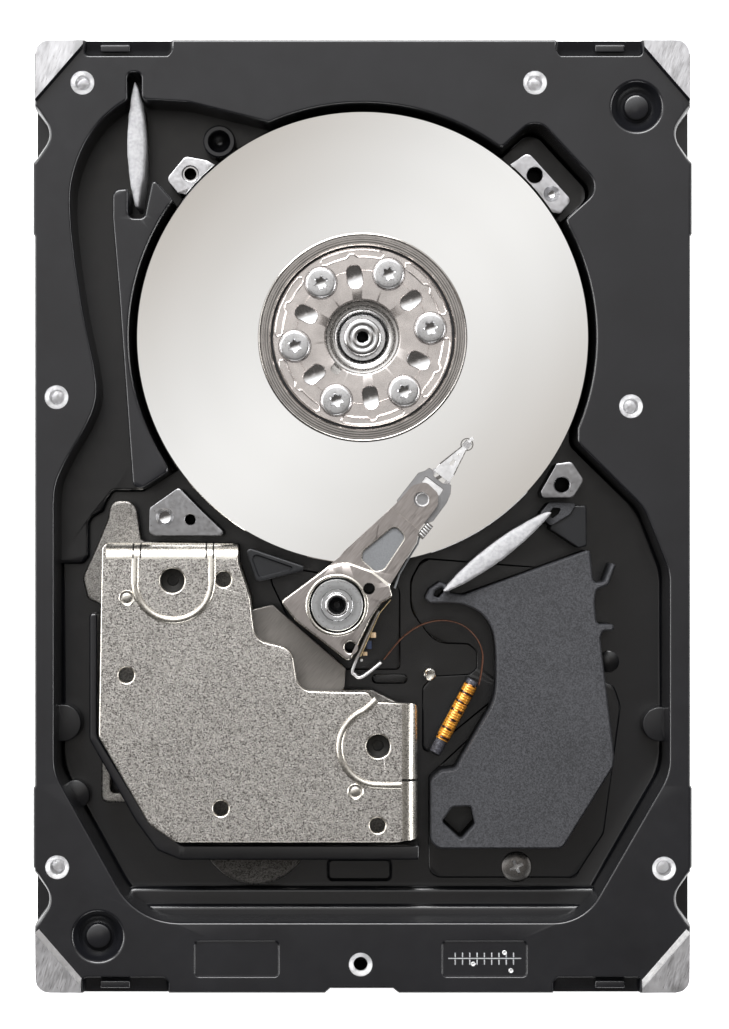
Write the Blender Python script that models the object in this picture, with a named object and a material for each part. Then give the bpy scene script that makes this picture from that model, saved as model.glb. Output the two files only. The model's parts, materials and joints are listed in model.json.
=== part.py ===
"""Hard disk drive, 3.5-inch form factor, with its cover off.

Every size is in millimetres and is turned into metres where a mesh is made.
X runs across the drive, Y runs from the connector end (-Y) to the far end (+Y),
and Z runs up from the bottom of the mounting rails.
"""
import math

import bmesh
import bpy

MM = 0.001
GAP = 0.3                       # clearance between pieces that touch

# The casting.
CASE_WIDTH = 101.6
CASE_LENGTH = 147.0
CASE_HEIGHT = 26.1              # top of the four bare corner pads
DECK_TOP = 24.9                 # the face that the cover seats on
FLOOR_TOP = 6.2
FLOOR_UNDERSIDE = 4.4
HALF_WIDTH = CASE_WIDTH / 2
HALF_LENGTH = CASE_LENGTH / 2
PAD_TOP = 21.5                  # machined pads on the bosses beside the platters
SHROUD_TOP = 24.2
YOKE_SEAT = 8.9
MOTOR_HOLE_RADIUS = 14.7

# The spindle and what it carries.
SPINDLE = (0.0, 27.7)
PLATTER_RADIUS = 35.0
PLATTER_BORE = 12.5
PLATTER_THICKNESS = 1.0
PLATTER_PITCH = 3.6
PLATTER_COUNT = 4
TOP_PLATTER_TOP = 22.4
SHROUD_RADIUS = 36.1
HUB_RADIUS = 12.2
HUB_TOP = 22.3
CLAMP_RADIUS = 16.2
CLAMP_BOTTOM = TOP_PLATTER_TOP + GAP
CLAMP_TOP = 23.5
CLAMP_BORE = 5.7
CLAMP_SCREW_CIRCLE = 10.56
CLAMP_SCREW_ANGLE = 7.5
CLAMP_SCREW_COUNT = 6

# The actuator.
PIVOT = (-3.95, -13.7)
PIVOT_SLEEVE_RADIUS = 4.0
COMB_RADIUS = 6.3               # the slots between the arms stop this far from the pivot
ARM_DIRECTION = 51.0            # degrees from +X, with the heads over mid-platter
COIL_DIRECTION = 229.0
ARM_THICKNESS = 0.8
BLOCK_BOTTOM = 8.9
BLOCK_TOP = 24.1
COIL_BOTTOM = 15.3
COIL_TOP = 17.9

# The voice coil motor's plates.
LOWER_YOKE_TOP = 12.0
UPPER_YOKE_BOTTOM = 21.2
UPPER_YOKE_TOP = 24.0
MAGNET_THICKNESS = 2.5

# The circuit board under the floor.
BOARD_BOTTOM = 1.0
BOARD_TOP = 2.4


# ---------------------------------------------------------------- outlines

def circle(centre, radius, steps=24):
    """Points round a circle."""
    return arc(centre, radius, 0.0, 360.0 * (steps - 1) / steps, steps)


def arc(centre, radius, start, end, steps):
    """Points along an arc, from one angle in degrees to another."""
    points = []
    for step in range(steps):
        angle = math.radians(start + (end - start) * step / (steps - 1))
        x = centre[0] + radius * math.cos(angle)
        y = centre[1] + radius * math.sin(angle)
        points.append((x, y))
    return points


def rounded(corners, steps=3):
    """Outline through the corners; a corner (x, y, radius) becomes a fillet."""
    outline = []
    for index, corner in enumerate(corners):
        if len(corner) == 2:
            outline.append(corner)
            continue
        before = corners[index - 1]
        after = corners[(index + 1) % len(corners)]
        outline.extend(fillet(before, corner, after, steps))
    return outline


def fillet(before, corner, after, steps):
    """Points along the arc that rounds one corner."""
    x, y, radius = corner
    back = math.atan2(before[1] - y, before[0] - x)
    ahead = math.atan2(after[1] - y, after[0] - x)
    turn = (ahead - back + math.pi) % (2 * math.pi) - math.pi
    room = 0.48 * min(math.dist(before[:2], (x, y)), math.dist(after[:2], (x, y)))
    reach = min(radius / math.tan(abs(turn) / 2), room)
    radius = reach * math.tan(abs(turn) / 2)
    middle = back + turn / 2
    depth = radius / math.sin(abs(turn) / 2)
    centre = (x + depth * math.cos(middle), y + depth * math.sin(middle))
    start = (x + reach * math.cos(back), y + reach * math.sin(back))
    end = (x + reach * math.cos(ahead), y + reach * math.sin(ahead))
    first = math.atan2(start[1] - centre[1], start[0] - centre[0])
    last = math.atan2(end[1] - centre[1], end[0] - centre[0])
    sweep = (last - first + math.pi) % (2 * math.pi) - math.pi
    return arc(centre, radius, math.degrees(first), math.degrees(first + sweep), steps)


def polar(centre, direction, points):
    """Turn (along, across) points about a centre into plain (x, y) points."""
    angle = math.radians(direction)
    ahead = (math.cos(angle), math.sin(angle))
    result = []
    for point in points:
        x = centre[0] + point[0] * ahead[0] - point[1] * ahead[1]
        y = centre[1] + point[0] * ahead[1] + point[1] * ahead[0]
        result.append((x, y) + tuple(point[2:]))
    return result


def ribbon(points, width):
    """Outline of a strip of even width that follows the points."""
    left = []
    right = []
    for index, point in enumerate(points):
        before = points[max(index - 1, 0)]
        after = points[min(index + 1, len(points) - 1)]
        angle = math.atan2(after[1] - before[1], after[0] - before[0])
        across = (-math.sin(angle) * width / 2, math.cos(angle) * width / 2)
        left.append((point[0] + across[0], point[1] + across[1]))
        right.append((point[0] - across[0], point[1] - across[1]))
    return left + right[::-1]


def smooth(points, steps=4):
    """Catmull-Rom curve through the points, with a few steps between each pair."""
    padded = [points[0]] + list(points) + [points[-1]]
    curve = []
    for index in range(len(points) - 1):
        a, b, c, d = padded[index:index + 4]
        for step in range(steps):
            t = step / steps
            curve.append(tuple(catmull(a[k], b[k], c[k], d[k], t) for k in range(2)))
    curve.append(points[-1])
    return curve


def catmull(a, b, c, d, t):
    """One coordinate of a Catmull-Rom curve between b and c."""
    return 0.5 * (2 * b + (c - a) * t + (2 * a - 5 * b + 4 * c - d) * t ** 2
                  + (3 * b - a - 3 * c + d) * t ** 3)


# ---------------------------------------------------------------- mesh tools

def add_prism(bm, outline, bottom, top, holes=()):
    """Extrude an outline, with holes in it, from one height to another."""
    edges = []
    for loop in [outline] + list(holes):
        verts = [bm.verts.new((x * MM, y * MM, bottom * MM)) for x, y in loop]
        edges += [bm.edges.new(pair) for pair in zip(verts, verts[1:] + verts[:1])]
    filled = bmesh.ops.triangle_fill(bm, use_beauty=True, edges=edges)
    faces = [item for item in filled["geom"] if isinstance(item, bmesh.types.BMFace)]
    raised = bmesh.ops.extrude_face_region(bm, geom=faces, use_keep_orig=True)
    verts = [item for item in raised["geom"] if isinstance(item, bmesh.types.BMVert)]
    bmesh.ops.translate(bm, vec=(0, 0, (top - bottom) * MM), verts=verts)


def add_turned(bm, profile, centre, segments=48):
    """Turn a profile of (radius, height) points round a vertical axis."""
    rings = []
    for radius, height in profile:
        count = segments if radius > 0 else 1
        ring = []
        for step in range(count):
            angle = 2 * math.pi * step / segments
            x = centre[0] + radius * math.cos(angle)
            y = centre[1] + radius * math.sin(angle)
            ring.append(bm.verts.new((x * MM, y * MM, height * MM)))
        rings.append(ring)
    pairs = list(zip(rings, rings[1:]))
    if profile[0][0] > 0:
        pairs.append((rings[-1], rings[0]))
    for lower, upper in pairs:
        for step in range(segments):
            after = step + 1
            corners = [lower[step % len(lower)], lower[after % len(lower)],
                       upper[after % len(upper)], upper[step % len(upper)]]
            bm.faces.new(list(dict.fromkeys(corners)))


def prism(outline, bottom, top, holes=()):
    """A new mesh with one extruded outline."""
    bm = bmesh.new()
    add_prism(bm, outline, bottom, top, holes)
    return bm


def turned(profile, centre, segments=48):
    """A new mesh with one turned profile."""
    bm = bmesh.new()
    add_turned(bm, profile, centre, segments)
    return bm


def box(x_range, y_range, bottom, top, radius=0.0):
    """A new mesh with one upright block, its corners rounded if asked."""
    corners = [(x_range[0], y_range[0]), (x_range[1], y_range[0]),
               (x_range[1], y_range[1]), (x_range[0], y_range[1])]
    if radius:
        corners = rounded([corner + (radius,) for corner in corners])
    return prism(corners, bottom, top)


def ring_profile(inner, outer, bottom, top):
    """Profile of a plain ring."""
    return [(inner, bottom), (outer, bottom), (outer, top), (inner, top)]


def disc_profile(radius, bottom, top):
    """Profile of a plain round bar."""
    return [(0, bottom), (radius, bottom), (radius, top), (0, top)]


# ---------------------------------------------------------------- objects

def material(name, colour, roughness, metallic=0.0):
    """A Principled material with one colour."""
    made = bpy.data.materials.new(name)
    made.use_nodes = True
    shader = made.node_tree.nodes["Principled BSDF"]
    shader.inputs["Base Color"].default_value = (*colour, 1.0)
    shader.inputs["Roughness"].default_value = roughness
    shader.inputs["Metallic"].default_value = metallic
    return made


def make(name, bm, finish, axis=None):
    """Add one named piece; a moving one hangs on the empty at its joint's axis."""
    bmesh.ops.recalc_face_normals(bm, faces=bm.faces[:])
    if axis:
        bmesh.ops.translate(bm, vec=-axis.location, verts=bm.verts[:])
    mesh = bpy.data.meshes.new(name)
    bm.to_mesh(mesh)
    bm.free()
    mesh.materials.append(finish)
    mesh.shade_smooth()
    mesh.set_sharp_from_angle(angle=math.radians(30))
    piece = bpy.data.objects.new(name, mesh)
    piece.parent = axis
    bpy.context.scene.collection.objects.link(piece)
    return piece


def combine(piece, bm, operation):
    """Join a shape to a piece, or cut it away, with a Boolean modifier."""
    count = len(piece.modifiers) + 1
    tool = make(f"{piece.name}_tool_{count}", bm, piece.data.materials[0], piece.parent)
    tool.hide_render = True
    tool.display_type = "WIRE"
    modifier = piece.modifiers.new(f"{operation.lower()}_{count}", "BOOLEAN")
    modifier.operation = operation
    modifier.object = tool


def axis_empty(name, centre):
    """An empty on a joint's axis, which the moving pieces hang on."""
    empty = bpy.data.objects.new(name, None)
    empty.location = (centre[0] * MM, centre[1] * MM, 0.0)
    bpy.context.scene.collection.objects.link(empty)
    return empty


# ---------------------------------------------------------------- the casting

COVER_SCREW_HOLES = [(-43.2, 66.9), (26.6, 66.9), (-47.2, 18.4), (41.4, 17.0),
                     (-47.1, -54.1), (46.5, -54.3), (-0.3, -69.1)]
RAIL_HOLE_X = 47.625
RAIL_HOLES_Y = [-32.2, 12.2, 44.0]
SIDE_HOLES_Y = [-45.0, -3.4, 56.6]
SIDE_HOLE_HEIGHT = 6.35


def pocket_outline():
    """The chamber's outline at the deck, counting on from the filter slot."""
    corners = [(-36.3, 64.3, 0.5), (-36.3, 68.5, 0.9), (-34.1, 68.5, 0.9), (-34.1, 64.3, 0.8),
               (-27.0, 63.9, 6.0), (-18.5, 61.8, 4.0)]
    corners += arc(SPINDLE, SHROUD_RADIUS, 113.6, 56.0, 12)
    corners += [(21.4, 56.8, 0.8), (26.8, 61.6, 2.6), (36.8, 50.8, 2.6), (31.4, 45.9, 0.8)]
    corners += arc(SPINDLE, SHROUD_RADIUS, 28.5, -23.0, 11)
    corners += [(33.2, 11.4, 1.5), (43.5, 1.2, 8.0), (47.35, -8.5, 8.0), (47.35, -39.6, 8.0),
                (34.1, -62.65, 8.0), (-34.8, -62.65, 11.0), (-47.6, -39.5, 8.0),
                (-47.6, 4.0, 2.0), (-41.0, 17.8, 3.0), (-45.6, 48.6, 9.0), (-43.4, 57.4, 9.0),
                (-39.6, 62.8, 4.0)]
    return rounded(corners)


def shroud_outline():
    """The wall beside the platters, with the seat for one end of a filter."""
    corners = [(-38.6, 50.5, 1.2), (-36.2, 50.7, 0.5), (-36.2, 46.1, 0.9), (-33.7, 46.1, 0.9),
               (-32.4, 52.4, 0.4)]
    corners += arc(SPINDLE, SHROUD_RADIUS, 144.2, 211.9, 14)
    corners += [(-29.8, 7.0, 0.8), (-35.4, 3.4, 1.2), (-37.6, 34.1), (-38.6, 46.0)]
    return rounded(corners)


def boss_shapes(bm):
    """Bosses with machined tops that stand up from the chamber's floor."""
    root = FLOOR_TOP - GAP
    nut_pad = rounded([(-27.4, 56.0, 0.6), (-24.3, 55.3, 0.6), (-23.7, 54.0, 0.3),
                       (-27.9, 49.7, 0.3), (-30.3, 52.3, 0.6)])
    add_prism(bm, nut_pad, root, PAD_TOP, [circle((-26.7, 53.1), 0.9, 12)])
    corner_pad = rounded([(25.8, 56.5, 0.8), (32.5, 49.0, 0.8), (30.3, 46.8, 0.4)])
    corner_pad += arc(SPINDLE, PLATTER_RADIUS + 0.7, 33.0, 48.0, 4)
    add_prism(bm, corner_pad, root, PAD_TOP, [circle((29.4, 49.9), 0.9, 12)])
    diamond_pad = rounded([(30.1, 8.2, 0.3), (32.4, 8.5, 0.6), (34.3, 5.6, 0.6),
                           (32.6, 2.9, 0.6), (27.9, 2.9, 0.3), (27.6, 3.8, 0.3)])
    add_prism(bm, diamond_pad, root, PAD_TOP, [circle((30.9, 4.9), 1.2, 12)])
    triangle_pad = rounded([(-28.5, 4.5, 0.4), (-33.0, 1.3, 0.5), (-33.1, -3.0, 0.9),
                            (-20.9, -3.0, 0.3), (-25.0, 0.9, 0.3)])
    add_prism(bm, triangle_pad, root, PAD_TOP, [circle((-26.7, -0.5), 0.85, 12)])
    add_turned(bm, ring_profile(1.7, 2.6, root, PAD_TOP - 2.0), (-22.3, 58.3), 20)
    add_prism(bm, shroud_outline(), root, SHROUD_TOP)


def seat_shapes(bm):
    """Low seats for the pivot and the lower yoke, and the shelf at the connector end."""
    root = FLOOR_TOP - GAP
    add_turned(bm, ring_profile(2.4, 4.5, root, 8.3), PIVOT, 24)
    yoke_seat = [(-38.0, -6.0, 2.0), (-20.5, -6.0, 1.0), (-19.5, -16.0, 3.0), (-13.0, -23.5, 3.0),
                 (-6.0, -29.0, 3.0), (5.0, -31.0, 2.0), (6.0, -47.5, 2.0), (-28.0, -47.5, 2.0),
                 (-38.0, -33.0, 2.0)]
    add_prism(bm, rounded(yoke_seat), root, YOKE_SEAT)
    shelf = [(-33.5, -64.5), (33.5, -64.5), (38.5, -58.2), (-38.5, -58.2)]
    add_prism(bm, shelf, root, YOKE_SEAT + 0.2)


def edge_cutters(bm):
    """Steps in the end edges, scallops in the side edges and the label's recess."""
    for end in (-1, 1):
        for start, finish in ((-43.2, -29.8), (29.6, 43.2)):
            ledge = [(start, end * 71.5), (finish, end * 71.5),
                     (finish, end * 75.0), (start, end * 75.0)]
            add_prism(bm, ledge, DECK_TOP - 1.6, CASE_HEIGHT + 3)
        for side in (-1, 1):
            scallop = rounded([(side * 52.0, end * 59.0 - 5.6), (side * 47.8, end * 59.0 - 1.6, 3.0),
                               (side * 47.8, end * 59.0 + 1.6, 3.0), (side * 52.0, end * 59.0 + 5.6)])
            add_prism(bm, scallop, DECK_TOP - 6.0, CASE_HEIGHT + 3)


def deck_cutter():
    """Everything above the deck, save the four corner pads."""
    x, y = HALF_WIDTH, HALF_LENGTH
    leg_x, leg_y, spare = 8.0, 8.6, 4.0
    slope = leg_x / leg_y
    corners = []
    for side, end in ((1, 1), (-1, 1), (-1, -1), (1, -1)):
        near_end = (side * (x - leg_x - spare * slope), end * (y + spare))
        near_side = (side * (x + spare * slope), end * (y - leg_y - spare))
        corners += [near_side, near_end] if side * end > 0 else [near_end, near_side]
    return prism(corners, DECK_TOP, CASE_HEIGHT + 5)


def hole_cutters(bm):
    """Blind holes: the cover's, the rails' and the sides'."""
    for centre in COVER_SCREW_HOLES:
        top = DECK_TOP + 1.0
        profile = [(0, DECK_TOP - 8), (1.05, DECK_TOP - 8), (1.05, DECK_TOP - 0.9),
                   (1.8, DECK_TOP - 0.3), (1.8, top), (0, top)]
        add_turned(bm, profile, centre, 16)
    for side in (-1, 1):
        for y in RAIL_HOLES_Y:
            add_turned(bm, disc_profile(1.4, -1.0, 3.3), (side * RAIL_HOLE_X, y), 12)


def side_hole_cutters(bm):
    """The three threaded holes in each long side."""
    for side in (-1, 1):
        for y in SIDE_HOLES_Y:
            outline = circle((y, SIDE_HOLE_HEIGHT), 1.4, 12)
            before = len(bm.verts)
            add_prism(bm, outline, 48.2, 52.0)
            bm.verts.ensure_lookup_table()
            for vert in bm.verts[before:]:
                y_m, z_m, x_m = vert.co
                vert.co = (side * x_m, y_m, z_m)


def underside_cutters(bm):
    """The recess for the circuit board and the relief under the far end."""
    board_bay = [(-44.4, -76.0), (44.4, -76.0), (44.4, 20.5, 2.0), (-44.4, 20.5, 2.0)]
    add_prism(bm, rounded(board_bay), -2.0, FLOOR_UNDERSIDE)
    relief = rounded([(-40.0, 23.5, 3.0), (40.0, 23.5, 3.0), (40.0, 68.0, 3.0), (-40.0, 68.0, 3.0)])
    add_prism(bm, relief, -2.0, 3.0)


def make_casting():
    """The one-piece base that everything else is fastened to."""
    half_x, half_y = HALF_WIDTH, HALF_LENGTH
    block = rounded([(-half_x, -half_y, 1.8), (half_x, -half_y, 1.8),
                     (half_x, half_y, 1.8), (-half_x, half_y, 1.8)])
    casting = make("base_casting", prism(block, 0.0, CASE_HEIGHT), BLACK_COAT)
    combine(casting, deck_cutter(), "DIFFERENCE")
    combine(casting, prism(pocket_outline(), FLOOR_TOP, CASE_HEIGHT + 4), "DIFFERENCE")
    for shapes, operation in ((boss_shapes, "UNION"), (seat_shapes, "UNION"),
                              (edge_cutters, "DIFFERENCE"), (hole_cutters, "DIFFERENCE"),
                              (side_hole_cutters, "DIFFERENCE"),
                              (underside_cutters, "DIFFERENCE")):
        bm = bmesh.new()
        shapes(bm)
        combine(casting, bm, operation)
    motor_hole = turned(disc_profile(MOTOR_HOLE_RADIUS, -3.0, 12.0), SPINDLE, 40)
    combine(casting, motor_hole, "DIFFERENCE")
    combine(casting, box((-21.8, 21.8), (-78.0, -63.6), -4.0, 6.8), "DIFFERENCE")
    pivot_hole = turned(disc_profile(2.4, 3.0, 14.0), PIVOT, 24)
    combine(casting, pivot_hole, "DIFFERENCE")


# ---------------------------------------------------------------- the spindle motor

def make_motor():
    """The fixed half of the spindle motor."""
    bracket = [(2.3, 3.6), (14.4, 3.6), (14.4, 5.8), (7.0, 5.8), (5.4, 7.0), (5.4, 15.6),
               (5.0, 15.6), (5.0, 7.2), (2.3, 7.2)]
    make("motor_bracket", turned(bracket, SPINDLE, 32), CAST_ALUMINIUM)
    shaft = [(0, 3.6), (2.0, 3.6), (2.0, 20.9), (2.9, 20.9), (2.9, 23.4), (2.5, 23.8),
             (1.0, 23.8), (0.86, 20.0), (0, 20.0)]
    make("spindle_shaft", turned(shaft, SPINDLE, 20), POLISHED_STEEL)
    make("stator_core", stator_core(), LAMINATED_STEEL)
    make("stator_winding", stator_winding(), COPPER)


def stator_core():
    """A ring of nine flared teeth."""
    teeth = 9
    outline = []
    for tooth in range(teeth):
        middle = 360.0 * tooth / teeth
        for radius, offset in ((6.7, -14.0), (7.8, -8.0), (8.6, -8.0), (9.4, -15.0),
                               (9.5, 0.0), (9.4, 15.0), (8.6, 8.0), (7.8, 8.0), (6.7, 14.0)):
            outline.append(arc(SPINDLE, radius, middle + offset, middle + offset + 1, 2)[0])
    return prism(outline, 9.9, 14.9, [circle(SPINDLE, 5.8)])


def stator_winding():
    """The upper end turns, with a lobe over each tooth."""
    lobes = 9
    outline = []
    for step in range(lobes * 6):
        angle = 360.0 * step / (lobes * 6)
        radius = 8.5 + 0.6 * math.cos(math.radians(angle * lobes))
        outline.append(arc(SPINDLE, radius, angle, angle + 1, 2)[0])
    return prism(outline, 15.2, 17.4, [circle(SPINDLE, 6.4)])


def clamp_screw_centres():
    """Where the six clamp screws sit."""
    step = 360.0 / CLAMP_SCREW_COUNT
    last = CLAMP_SCREW_ANGLE + 360.0 - step
    return arc(SPINDLE, CLAMP_SCREW_CIRCLE, CLAMP_SCREW_ANGLE, last, CLAMP_SCREW_COUNT)


def make_rotor(axis):
    """Everything that turns with the platters."""
    hub_profile = [(11.0, 8.0), (12.6, 8.0), (12.6, 8.9), (16.0, 8.9), (16.0, 10.3),
                   (HUB_RADIUS, 10.3), (HUB_RADIUS, HUB_TOP), (6.4, HUB_TOP), (6.4, 21.4),
                   (4.7, 21.4), (4.7, 22.6), (3.9, 22.6), (3.9, 8.9), (4.7, 8.9),
                   (4.7, 18.2), (11.0, 18.2)]
    hub = make("spindle_hub", turned(hub_profile, SPINDLE, 36), TURNED_ALUMINIUM, axis)
    holes = bmesh.new()
    for centre in clamp_screw_centres():
        add_turned(holes, disc_profile(1.25, 19.2, HUB_TOP + 2), centre, 8)
    combine(hub, holes, "DIFFERENCE")
    bearing = [(2.3, 9.0), (3.6, 9.0), (3.6, 20.2), (2.3, 20.2)]
    make("spindle_bearing", turned(bearing, SPINDLE, 32), POLISHED_STEEL, axis)
    magnet = ring_profile(9.8, 10.7, 8.6, 17.8)
    make("rotor_magnet", turned(magnet, SPINDLE, 40), MAGNET_BLACK, axis)
    make_platters(axis)
    make_clamp(axis)


def make_platters(axis):
    """Four platters and the three rings that space them."""
    for index in range(PLATTER_COUNT):
        top = TOP_PLATTER_TOP - PLATTER_PITCH * index
        bottom = top - PLATTER_THICKNESS
        profile = ring_profile(PLATTER_BORE, PLATTER_RADIUS, bottom, top)
        make(f"platter_{index + 1}", turned(profile, SPINDLE, 60), MIRROR_MEDIA, axis)
        if index < PLATTER_COUNT - 1:
            lower = top - PLATTER_PITCH + GAP
            spacer = ring_profile(PLATTER_BORE, CLAMP_RADIUS - 0.4, lower, bottom - GAP)
            make(f"platter_spacer_{index + 1}", turned(spacer, SPINDLE, 32), TURNED_ALUMINIUM, axis)


def make_clamp(axis):
    """The clamp that holds the platters down, and its six screws."""
    profile = [(CLAMP_BORE, CLAMP_BOTTOM), (CLAMP_RADIUS, CLAMP_BOTTOM), (CLAMP_RADIUS, 23.6),
               (15.4, 24.1), (14.6, 24.1), (14.3, 23.3), (13.8, CLAMP_TOP),
               (CLAMP_BORE, CLAMP_TOP)]
    clamp = make("disk_clamp", turned(profile, SPINDLE), PLATED_STEEL, axis)
    holes = bmesh.new()
    for centre in clamp_screw_centres():
        add_turned(holes, disc_profile(1.25, 20.0, 26.0), centre, 8)
    for slot in range(CLAMP_SCREW_COUNT):
        direction = CLAMP_SCREW_ANGLE + 30.0 + 60.0 * slot
        corners = [(7.6, -1.15, 1.1), (11.2, -1.15, 1.1), (11.2, 1.15, 1.1), (7.6, 1.15, 1.1)]
        add_prism(holes, rounded(polar(SPINDLE, direction, corners)), 20.5, 25.5)
    combine(clamp, holes, "DIFFERENCE")
    for index, centre in enumerate(clamp_screw_centres()):
        seat = CLAMP_TOP + GAP
        screw = [(0, 19.8), (0.9, 19.8), (0.9, seat), (2.33, seat), (2.33, seat + 0.6),
                 (2.0, seat + 0.9), (0.9, seat + 0.9), (0.9, seat + 0.3), (0, seat + 0.3)]
        make(f"clamp_screw_{index + 1}", turned(screw, centre, 14), POLISHED_STEEL, axis)


# ---------------------------------------------------------------- the actuator

ARM_CENTRES = [TOP_PLATTER_TOP - PLATTER_THICKNESS / 2 + PLATTER_PITCH * (0.5 - index)
               for index in range(PLATTER_COUNT + 1)]


def block_outline():
    """The comb seen from above: the body round the pivot and one arm."""
    return rounded([(-12.7, -13.1, 0.4), (-5.2, -7.6, 0.5), (-3.5, -6.2, 1.0), (-2.9, -5.4, 0.8),
                    (5.2, 2.0, 2.0), (7.6, 4.9, 0.8), (9.9, 5.2, 0.8), (11.9, 2.9, 0.8),
                    (9.45, -1.3, 0.8), (8.4, -3.5, 1.5), (5.3, -8.7, 1.5), (4.2, -10.7, 0.5),
                    (4.7, -12.4, 0.3), (2.9, -13.4, 0.5), (1.3, -15.8, 1.0), (-2.0, -22.6, 0.5),
                    (-10.4, -16.1, 1.0)], 2)


def make_block(axis):
    """The comb of five arms on the pivot."""
    window = rounded([(5.0, -1.4, 0.6), (6.6, -3.2, 0.6), (3.3, -8.2, 0.9), (2.0, -8.5, 0.6),
                      (-0.1, -6.7, 0.7), (0.1, -5.4, 0.7)], 2)
    holes = [circle(PIVOT, PIVOT_SLEEVE_RADIUS + GAP, 28), circle((1.0, -11.15), 0.85, 8),
             circle((-1.9, -20.2), 0.85, 8), circle((9.1, 2.6), 1.2, 10), window]
    block = make("actuator_block", prism(block_outline(), BLOCK_BOTTOM, BLOCK_TOP, holes),
                 MACHINED_ALUMINIUM, axis)
    slots = bmesh.new()
    comb = arc(PIVOT, COMB_RADIUS, 21.0, 116.0, 9)
    comb += polar(PIVOT, ARM_DIRECTION, [(26.0, 24.0), (40.0, 0.0), (26.0, -16.0)])
    for upper, lower in zip(ARM_CENTRES, ARM_CENTRES[1:]):
        add_prism(slots, comb, lower + ARM_THICKNESS / 2, upper - ARM_THICKNESS / 2)
    add_prism(slots, comb, BLOCK_BOTTOM - 2, ARM_CENTRES[-1] - ARM_THICKNESS / 2)
    combine(block, slots, "DIFFERENCE")


def suspension(sign, arm_face):
    """A spring arm lofted through its stations, from its mount plate to its slider.

    sign is -1 where the head looks down and +1 where it looks up. A station is
    (distance from the pivot, half width, thickness), its back face level.
    """
    stations = [(18.4, 3.0, 0.25), (24.6, 3.0, 0.25), (25.3, 2.2, 0.25), (25.4, 1.5, 0.15),
                (30.6, 0.75, 0.15), (31.5, 0.7, 0.15), (31.55, 0.7, 0.3), (32.8, 0.7, 0.3),
                (32.85, 0.5, 0.15), (33.2, 0.3, 0.15)]
    back = arm_face + sign * GAP
    bm = bmesh.new()
    rings = []
    for distance, half_width, thickness in stations:
        ring = []
        for across, height in ((-1, 0), (1, 0), (1, 1), (-1, 1)):
            point = polar(PIVOT, ARM_DIRECTION, [(distance, across * half_width)])[0]
            z = back + sign * thickness * height
            ring.append(bm.verts.new((point[0] * MM, point[1] * MM, z * MM)))
        rings.append(ring)
    for near, far in zip(rings, rings[1:]):
        for corner in range(4):
            after = (corner + 1) % 4
            bm.faces.new((near[corner], near[after], far[after], far[corner]))
    bm.faces.new(rings[0])
    bm.faces.new(rings[-1])
    return bm


def make_suspensions(axis):
    """Eight spring arms, one for each platter face."""
    number = 1
    for index, centre in enumerate(ARM_CENTRES):
        for sign in (1, -1):
            outer_face = (index == 0 and sign == 1) or (index == PLATTER_COUNT and sign == -1)
            if outer_face:
                continue
            shape = suspension(sign, centre + sign * ARM_THICKNESS / 2)
            make(f"head_suspension_{number}", shape, STAINLESS, axis)
            number += 1


def make_coil(axis):
    """The coil and the frame that joins it to the comb."""
    def about_pivot(corners):
        return rounded(polar(PIVOT, COIL_DIRECTION, corners))

    outer = about_pivot([(14.6, -5.5, 2.0), (28.4, -11.3, 2.0), (28.4, 11.3, 2.0), (14.6, 5.5, 2.0)])
    inner = about_pivot([(18.4, -2.6, 1.0), (25.2, -5.8, 1.0), (25.2, 5.8, 1.0), (18.4, 2.6, 1.0)])
    make("voice_coil", prism(outer, COIL_BOTTOM, COIL_TOP, [inner]), COPPER, axis)
    frame = about_pivot([(6.6, -7.6, 0.5), (9.2, -9.4, 2.0), (27.6, -13.2, 0.6), (28.2, -11.7, 0.4),
                         (14.2, -5.8, 1.6), (14.2, 5.8, 1.6), (28.2, 11.7, 0.4), (27.6, 13.2, 0.6),
                         (9.2, 9.4, 2.0), (6.6, 7.6, 0.5)])
    make("coil_carrier", prism(frame, COIL_BOTTOM - 0.1, COIL_TOP + 0.1), SATIN_ALUMINIUM, axis)


def make_actuator(axis):
    """Everything that swings about the pivot."""
    make_block(axis)
    sleeve = [(2.5, 9.2), (PIVOT_SLEEVE_RADIUS, 9.2), (PIVOT_SLEEVE_RADIUS, 24.1), (3.3, 24.1),
              (3.0, 23.7), (2.5, 23.7)]
    make("pivot_bearing", turned(sleeve, PIVOT, 28), POLISHED_STEEL, axis)
    make_suspensions(axis)
    make_coil(axis)
    hook = smooth([(2.5, -14.7), (-1.3, -23.1), (-1.2, -24.6), (0.0, -24.9), (2.9, -22.7)], 3)
    make("flex_stiffener", prism(ribbon(hook, 0.45), 12.5, 20.5), STAINLESS, axis)


def make_pivot_shaft():
    """The fixed post that the actuator's bearing turns on."""
    profile = [(0, 4.6), (2.0, 4.6), (2.0, 24.2), (1.2, 24.2), (1.15, 20.5), (0, 20.5)]
    make("pivot_shaft", turned(profile, PIVOT, 24), POLISHED_STEEL)


# ---------------------------------------------------------------- the voice coil motor

INNER_EDGE = [(-17.4, -12.5, 3.0), (-16.6, -19.0, 2.5), (-10.9, -20.4, 2.5), (-9.9, -26.9, 2.5)]
OUTER_STOP = (-29.4, -9.9)
INNER_STOP = (2.4, -35.5)
YOKE_POSTS = [(-36.4, -12.6), (-1.1, -42.5)]


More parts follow.
